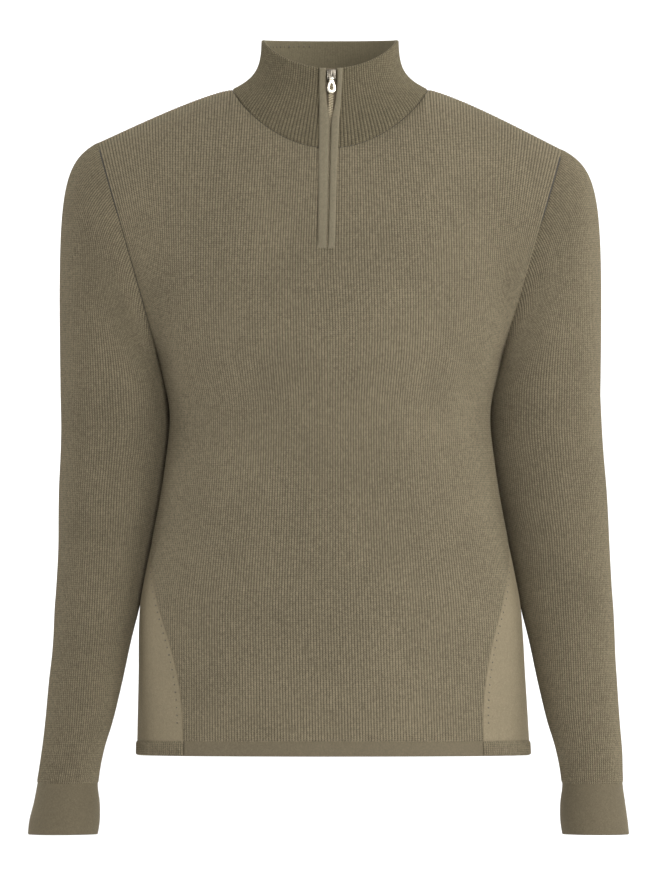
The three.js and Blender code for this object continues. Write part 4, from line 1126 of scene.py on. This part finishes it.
class SWEATER_OT_cuffs(bpy.types.Operator):
    """Knit the plain double cuffs"""
    bl_idname = "sweater.cuffs"
    bl_label = "Cuffs"

    def execute(self, context):
        heights = heights_between(CUFF_Z, CUFF_SEAM_Z, 4)[None, :]
        turn, z = np.broadcast_arrays(np.linspace(0, 1, 129)[:, None], heights)
        for word, side in LEFT_RIGHT:
            name = "cuff_" + word
            grid = sleeve_ring(side, turn, z)
            across = run_lengths(grid, 0)
            wale = np.abs(across - across[len(across) // 2]) / PLAIN_WALE
            made = cloth_wall(name + "_band", grid, DOUBLE_KNIT, wale, 0.1, seams="top", folds="foot",
                              flipped=side < 0, closed=True)
            ribbed_piece(made, "band knit", "band knit", name)
        return {"FINISHED"}


class SWEATER_OT_collar(bpy.types.Operator):
    """Knit the ribbed stand collar"""
    bl_idname = "sweater.collar"
    bl_label = "Collar"

    def execute(self, context):
        wales = context.scene.sweater_knit.collar_wales
        start = math.asin(COLLAR_HALF_GAP / COLLAR_TOP["half"]) / (2 * math.pi)
        numbers = (wale_numbers(wales) + wales // 2)[:, None]
        turn = lerp(start, 1 - start, numbers / wales)
        grid = leaned(collar_point(turn, close_steps(80, 5)[None, :]))
        made = cloth_wall("collar_knit", grid, DOUBLE_KNIT, numbers, 0.5, seams="foot", folds="top",
                          ribbed=1.0, dent=beside_zip(grid))
        ribbed_piece(made, "collar knit", "inner knit", "collar")
        return {"FINISHED"}


def zip_surface(x, v):
    """The cloth along the zip: v is 1 at the armpits, 2 at the neck seam and 3 at the collar's top."""
    x, v = np.broadcast_arrays(np.asarray(x, float), np.asarray(v, float))
    panel = folded_panel_point(FRONT, x * NECK_REACH / NECK["half"], np.minimum(v, 2))
    collar = collar_point(np.arcsin(x / NECK["half"]) / (2 * math.pi), np.clip(v - 2, 0, 1))
    found = np.where((v <= 2)[..., None], panel, collar)
    found[..., 0] = x
    return found


def zip_rows(low_z, high_z, step):
    """Row values, and the direction out of the cloth at each, evenly down the zip."""
    v = np.linspace(1, 3, 4001)
    line = zip_surface(np.zeros(4001), v)
    count = max(2, round((high_z - low_z) / step))
    found = np.interp(np.linspace(low_z, min(high_z, line[-1, 2]), count + 1), line[:, 2], v)
    ahead, behind = (zip_surface(np.zeros(len(found)), np.clip(found + step, 1, 3)) for step in (0.05, -0.05))
    up = unit(ahead - behind)
    return found, vec(0 * up[:, 0], -up[:, 2], up[:, 1])


def zip_strip(name, side, edges, off, crown, thick, columns):
    """A strip beside the zip: edges gives how far its two edges lie from the zip's line, by height."""
    v, out = zip_rows(ZIP_FOOT_Z, ZIP_TOP_Z, 2.5)
    inner, outer = edges(zip_surface(np.zeros(len(v)), v)[:, 2])
    u = np.linspace(0, 1, columns)[:, None]
    x = side * lerp(inner, outer, u if side > 0 else 1 - u)
    grid = zip_surface(x, np.broadcast_to(v[None, :], x.shape))
    bulge = crown * np.sqrt(np.maximum(0, 1 - np.abs(2 * u - 1) ** 3))
    ends = smooth_step(0, 9, run_lengths(grid, 1))
    base = grid + out[None] * off
    grid = leaned(base + out[None] * (bulge * ends + thick)[..., None])
    return strip_wall(name, grid, leaned(base), run_lengths(grid, 0) / TAPE_WALE, run_lengths(grid, 1))


def strip_wall(name, top, bottom, wale, course):
    """A closed strip between a face and a back that have the same columns and rows."""
    n, m = top.shape[:2]
    face = np.arange(n * m).reshape(n, m)
    back = face + n * m

    def quads(a, b, c, d):
        return [np.stack([a, b, c], -1).reshape(-1, 3), np.stack([a, c, d], -1).reshape(-1, 3)]

    parts = quads(face[:-1, :-1], face[1:, :-1], face[1:, 1:], face[:-1, 1:])
    parts += quads(back[:-1, :-1], back[:-1, 1:], back[1:, 1:], back[1:, :-1])
    parts += quads(face[:-1, 0], back[:-1, 0], back[1:, 0], face[1:, 0])
    parts += quads(face[1:, -1], back[1:, -1], back[:-1, -1], face[:-1, -1])
    parts += quads(face[0, 1:], back[0, 1:], back[0, :-1], face[0, :-1])
    parts += quads(face[-1, :-1], back[-1, :-1], back[-1, 1:], face[-1, 1:])
    values = {"wale": np.tile(wale.ravel(), 2), "course": np.tile(course.ravel(), 2)}
    points = np.concatenate([top.reshape(-1, 3), bottom.reshape(-1, 3)])
    return new_mesh(name, points, np.concatenate(parts), values)


class SWEATER_OT_zip_strips(bpy.types.Operator):
    """Lay the knitted strips and the tapes along the zip"""
    bl_idname = "sweater.zip_strips"
    bl_label = "Zip strips and tapes"

    def execute(self, context):
        def tape_edges(z):
            return np.full(len(z), 0.2), np.full(len(z), 10.0)

        for word, side in LEFT_RIGHT:
            def placket_edges(z):
                row = read_row(PLACKET_ROWS, "z", z)
                return row["inner"] + (0.45 if word == "left" else 0), row[word]

            placket = zip_strip(f"placket_{word}_knit", side, placket_edges, 0.1, 1.9, 0.4, 13)
            placket.data.materials.append(material("placket knit"))
            finished(placket, f"placket_{word}")
            tape = zip_strip(f"zip_tape_{word}_weave", side, tape_edges, -3.8, 0.0, 0.8, 9)
            tape.data.materials.append(material("zip tape"))
            finished(tape, f"zip_tape_{word}")
        return {"FINISHED"}


def line_object(name, lines):
    """Lines of places in millimetres, each with the way out of the cloth, as one object of edges."""
    mesh = bpy.data.meshes.new(name)
    points = np.concatenate([line for line, _ in lines])
    out = np.concatenate([o for _, o in lines])
    edges, first = [], 0
    for line, _ in lines:
        edges += [(first + k, first + k + 1) for k in range(len(line) - 1)]
        first += len(line)
    mesh.from_pydata([tuple(p * MM) for p in points], edges, [])
    layer = mesh.attributes.new("out", "FLOAT_VECTOR", "POINT")
    layer.data.foreach_set("vector", out.astype(np.float32).ravel())
    return placed(name, mesh)


class SWEATER_OT_zip_teeth(bpy.types.Operator):
    """Coil the zip's closed teeth"""
    bl_idname = "sweater.zip_teeth"
    bl_label = "Zip teeth"

    def execute(self, context):
        lines = []
        for side in (-1, 1):
            v, out = zip_rows(ZIP_FOOT_Z + 0.5 + side * 0.42, 18 + side * 0.42, 1.5)
            x = np.full(len(v), side * 1.15)
            z = zip_surface(0 * x, v)[:, 2]
            deep = lerp(0.9, 2.1, smooth_step(-16, -28, z))[:, None]
            lines.append((leaned(zip_surface(x, v) - out * deep), out))
        teeth = beaded("zip_teeth", lines, 1.7, 3.4, 1.05, 1.5, 84, 0.0, "zip coil")
        finished(teeth, "zip_chain")
        return {"FINISHED"}


def polished(node, name, bevel, finish):
    """A copy of a hard CAD node with its edges rounded over."""
    made = placed(name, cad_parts[node].data.copy())
    work = bmesh.new()
    work.from_mesh(made.data)
    bmesh.ops.remove_doubles(work, verts=work.verts, dist=1e-6)
    bmesh.ops.dissolve_limit(work, angle_limit=math.radians(1), verts=work.verts, edges=work.edges)
    work.to_mesh(made.data)
    work.free()
    rounding = made.modifiers.new("Rounded edges", "BEVEL")
    rounding.width, rounding.segments, rounding.limit_method = bevel * MM, 3, "ANGLE"
    rounding.angle_limit = math.radians(40)
    depsgraph = bpy.context.evaluated_depsgraph_get()
    mesh = bpy.data.meshes.new_from_object(made.evaluated_get(depsgraph), depsgraph=depsgraph)
    made.modifiers.clear()
    made.data = mesh
    mesh.materials.clear()
    mesh.materials.append(material(finish))
    mesh.set_sharp_from_angle(angle=math.radians(35))
    return made


def slider_bar_lines():
    """Three bright bars on the slider's face: how far aside, and between which shares of its height."""
    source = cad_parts["zip_slider"]
    points = [source.matrix_world @ vertex.co for vertex in source.data.vertices]
    shape = BVHTree.FromPolygons(points, [tuple(face.vertices) for face in source.data.polygons])
    low, high = (np.array([pick(point[k] for point in points) for k in range(3)]) / MM for pick in (min, max))
    lines = []
    for aside, first, last in ((-4.2, 0.2, 0.95), (0.0, 0.5, 0.92), (4.2, 0.2, 0.95)):
        z = lerp(low[2], high[2], np.linspace(first, last, 24))
        x = (low[0] + high[0]) / 2 + aside * np.linspace(0.85, 1.0, 24)
        hits = [shape.ray_cast(Vector((across * MM, -0.2, height * MM)), Vector((0, 1, 0)))[0]
                for across, height in zip(x, z)]
        y = np.array([hit.y / MM if hit else np.nan for hit in hits])
        y = np.where(np.isnan(y), np.nanmax(y), y)
        lines.append((vec(x, y, z), vec(0 * z, -1, 0)))
    return lines


class SWEATER_OT_slider_and_pull(bpy.types.Operator):
    """Polish the zip's slider and its pull"""
    bl_idname = "sweater.slider_and_pull"
    bl_label = "Slider and pull"

    def execute(self, context):
        for node, name, rounding, finish, body in (
            ("zip_slider", "slider_metal", 0.22, "slider metal", "garment"),
            ("zip_pull", "pull_metal", 0.28, "zip metal", "zip_pull_tab"),
        ):
            finished(polished(node, name, rounding, finish), node, body)
        bars = beaded("slider_bars", slider_bar_lines(), 0.4, 1.1, 0.6, 0.6, 0, 0.0, "bar metal")
        finished(bars)
        return {"FINISHED"}


def seam_lines(kind):
    """Lines along the sewn seams with the way out of the cloth."""
    lines = []
    if kind == "neck":
        turn = np.linspace(ZIP_GAP_SHARE, 1 - ZIP_GAP_SHARE, 400)
        foot = collar_point(turn, 0)
        out = unit(grid_normals(leaned(collar_point(turn[:, None], np.linspace(0, 0.2, 5)[None, :])))[:, 0])
        lines.append((leaned(foot) - out * 0.45, out))
    if kind == "armhole":
        for side in (-1, 1):
            turn = np.linspace(0.0, 1.0, 400)
            cap = cap_point(side, turn[:, None], np.linspace(0, 0.06, 5)[None, :])
            reach = side * np.array([[1.0], [0.985]])
            front = folded_panel_point(FRONT, reach, 1 + 2 * np.minimum(turn, 0.5))
            back = folded_panel_point(BACK, reach, 3 - 2 * np.maximum(turn, 0.5))
            panel = np.where((turn <= 0.5)[None, :, None], front, back)
            along = np.gradient(cap[:, 0], axis=0)
            across = unit(unit(cap[:, -1] - cap[:, 0]) - unit(panel[1] - panel[0]))
            out = unit(np.cross(along, across) * -side)
            from_foot = np.minimum(turn, 1 - turn)
            shown = smooth_step(0.28, 0.33, from_foot) * (1 - smooth_step(0.455, 0.475, from_foot))
            lines.append((cap[:, 0] - out * lerp(1.1, 0.15, shown)[:, None], out))
    if kind == "collar top":
        turn = np.linspace(0.55, 0.73, 60)
        grid = collar_point(turn[:, None], np.linspace(0.86, 0.93, 5)[None, :])
        out = -grid_normals(grid)[:, -1]
        lines.append((grid[:, -1] + out * (DOUBLE_KNIT + 0.3), out))
    if kind == "side panel":
        for side in (-1, 1):
            for face in (FRONT, BACK):
                z = np.linspace(HEM_SEAM_Z + 18, GUSSET_TOP_Z - 30, 160)
                aside = lerp(0.03, 0.012, (z - z[0]) / (z[-1] - z[0]))
                edge = trunk_point(face, side * (gusset_reach(z) + aside), z)
                ring = read_row(TRUNK_ROWS, "z", z)
                depth = ring["front" if face == FRONT else "back"]
                out = unit(vec(edge[:, 0] / ring["half"] ** 2, edge[:, 1] / depth**2, 0))
                lines.append((edge + out * 0.05, out))
    return lines


class SWEATER_OT_seams(bpy.types.Operator):
    """Link the seams with small stitches"""
    bl_idname = "sweater.seams"
    bl_label = "Seam stitches"

    def execute(self, context):
        # The neck and armhole stitches carry the near black seam yarn, which paints the shade along these
        # seams.
        for name, kind, spacing, long, wide, turn, finish in (
            ("neck_linking", "neck", 2.6, 2.3, 0.9, 12, "seam yarn"),
            ("armhole_linking", "armhole", 1.9, 2.7, 2.2, 8, "seam yarn"),
            ("side_panel_marks", "side panel", 7.5, 2.5, 1.5, 70, "mark yarn"),
            ("collar_marks", "collar top", 5.2, 2.4, 1.4, 70, "mark yarn"),
        ):
            made = beaded(name, seam_lines(kind), spacing, long, wide, 0.7, turn, 0.3, finish)
            finished(made)
        return {"FINISHED"}


class SWEATER_OT_stage(bpy.types.Operator):
    """Set out the backdrop, the lights and the camera"""
    bl_idname = "sweater.stage"
    bl_label = "Stage"

    def execute(self, context):
        settings, scene = context.scene.sweater_stage, context.scene
        far, floor, bend_y, radius = 24.0, -0.95, 1.2, 1.3
        bend = np.linspace(0, math.pi / 2, 13)[1:]
        profile = [(-far, floor), (bend_y, floor)]
        profile += [(bend_y + radius * math.sin(a), floor + radius * (1 - math.cos(a))) for a in bend]
        profile += [(bend_y + radius, 6.0)]
        verts = [(x, y, z) for x in (-far, far) for y, z in profile]
        count = len(profile)
        faces = [(k, k + 1, count + k + 1, count + k) for k in range(count - 1)]
        mesh = bpy.data.meshes.new("backdrop")
        mesh.from_pydata(verts, [], [f[::-1] for f in faces])
        mesh.shade_smooth()
        mesh.materials.append(stage_material("backdrop paper", (0.93, 0.93, 0.93)))
        backdrop = placed("backdrop", mesh)

        world = bpy.data.worlds.new("soft room")
        world.use_nodes = True
        light = world.node_tree.nodes["Background"].inputs
        light["Color"].default_value = (1.0, 0.99, 0.97, 1)
        light["Strength"].default_value = settings.surround
        scene.world = world

        middle = Vector((0, 0, -0.34))
        for name, place, size, power in (
            ("key", (2.5, -2.4, 1.1), 1.5, 58),
            ("front", (0.9, -5.0, 1.6), 1.8, 150),
            ("fill", (-2.8, -2.4, 0.4), 2.2, 5),
            ("top", (0.5, 0.2, 2.6), 2.0, 20),
            ("backdrop_left", (-3.0, 0.3, 1.2), 1.5, 60),
            ("backdrop_right", (3.0, 0.3, 1.2), 1.5, 60),
        ):
            data = bpy.data.lights.new(name, "AREA")
            data.shape, data.size, data.energy = "DISK", size, power
            lamp = placed(name, data)
            lamp.location = place
            aim = Vector((0, 2.4, 0.2)) if name.startswith("backdrop") else middle
            lamp.rotation_euler = (aim - lamp.location).to_track_quat("-Z", "Y").to_euler()

        data = bpy.data.cameras.new("camera")
        data.sensor_fit, data.sensor_height = "VERTICAL", 24.0
        data.lens = data.sensor_height * settings.distance / settings.view_height
        data.clip_end = 100
        camera = placed("camera", data)
        camera.location = (-0.001, -settings.distance, -0.3425)
        camera.rotation_euler = (math.pi / 2, 0, 0)
        scene.camera = camera
        scene.view_settings.view_transform = "Standard"
        return {"FINISHED"}


class SWEATER_PT_panel(bpy.types.Panel):
    """Lists the sweater's sizes, colours and pieces"""
    bl_idname = "SWEATER_PT_panel"
    bl_label = "Sweater"
    bl_space_type = "VIEW_3D"
    bl_region_type = "UI"
    bl_category = "Sweater"

    def draw(self, context):
        for group in (context.scene.sweater_knit, context.scene.sweater_colours, context.scene.sweater_stage):
            column = self.layout.column(align=True)
            for name in type(group).__annotations__:
                column.prop(group, name)
        for operator in OPERATORS:
            self.layout.operator(operator.bl_idname)


OPERATORS = (
    SWEATER_OT_stage, SWEATER_OT_body_panels, SWEATER_OT_side_panels, SWEATER_OT_hem, SWEATER_OT_sleeves,
    SWEATER_OT_cuffs, SWEATER_OT_collar, SWEATER_OT_zip_strips, SWEATER_OT_zip_teeth,
    SWEATER_OT_slider_and_pull, SWEATER_OT_seams,
)
GROUPS = {"sweater_knit": KnitSizes, "sweater_colours": KnitColours, "sweater_stage": StageSettings}


def register():
    for kind in (*GROUPS.values(), *OPERATORS, SWEATER_PT_panel):
        bpy.utils.register_class(kind)
    for name, kind in GROUPS.items():
        setattr(bpy.types.Scene, name, PointerProperty(type=kind))


def unregister():
    for name in GROUPS:
        delattr(bpy.types.Scene, name)
    for kind in reversed((*GROUPS.values(), *OPERATORS, SWEATER_PT_panel)):
        bpy.utils.unregister_class(kind)


def main():
    register()
    for operator in OPERATORS:
        getattr(bpy.ops.sweater, operator.bl_idname.split(".")[1])()


if __name__ == "__main__":
    main()
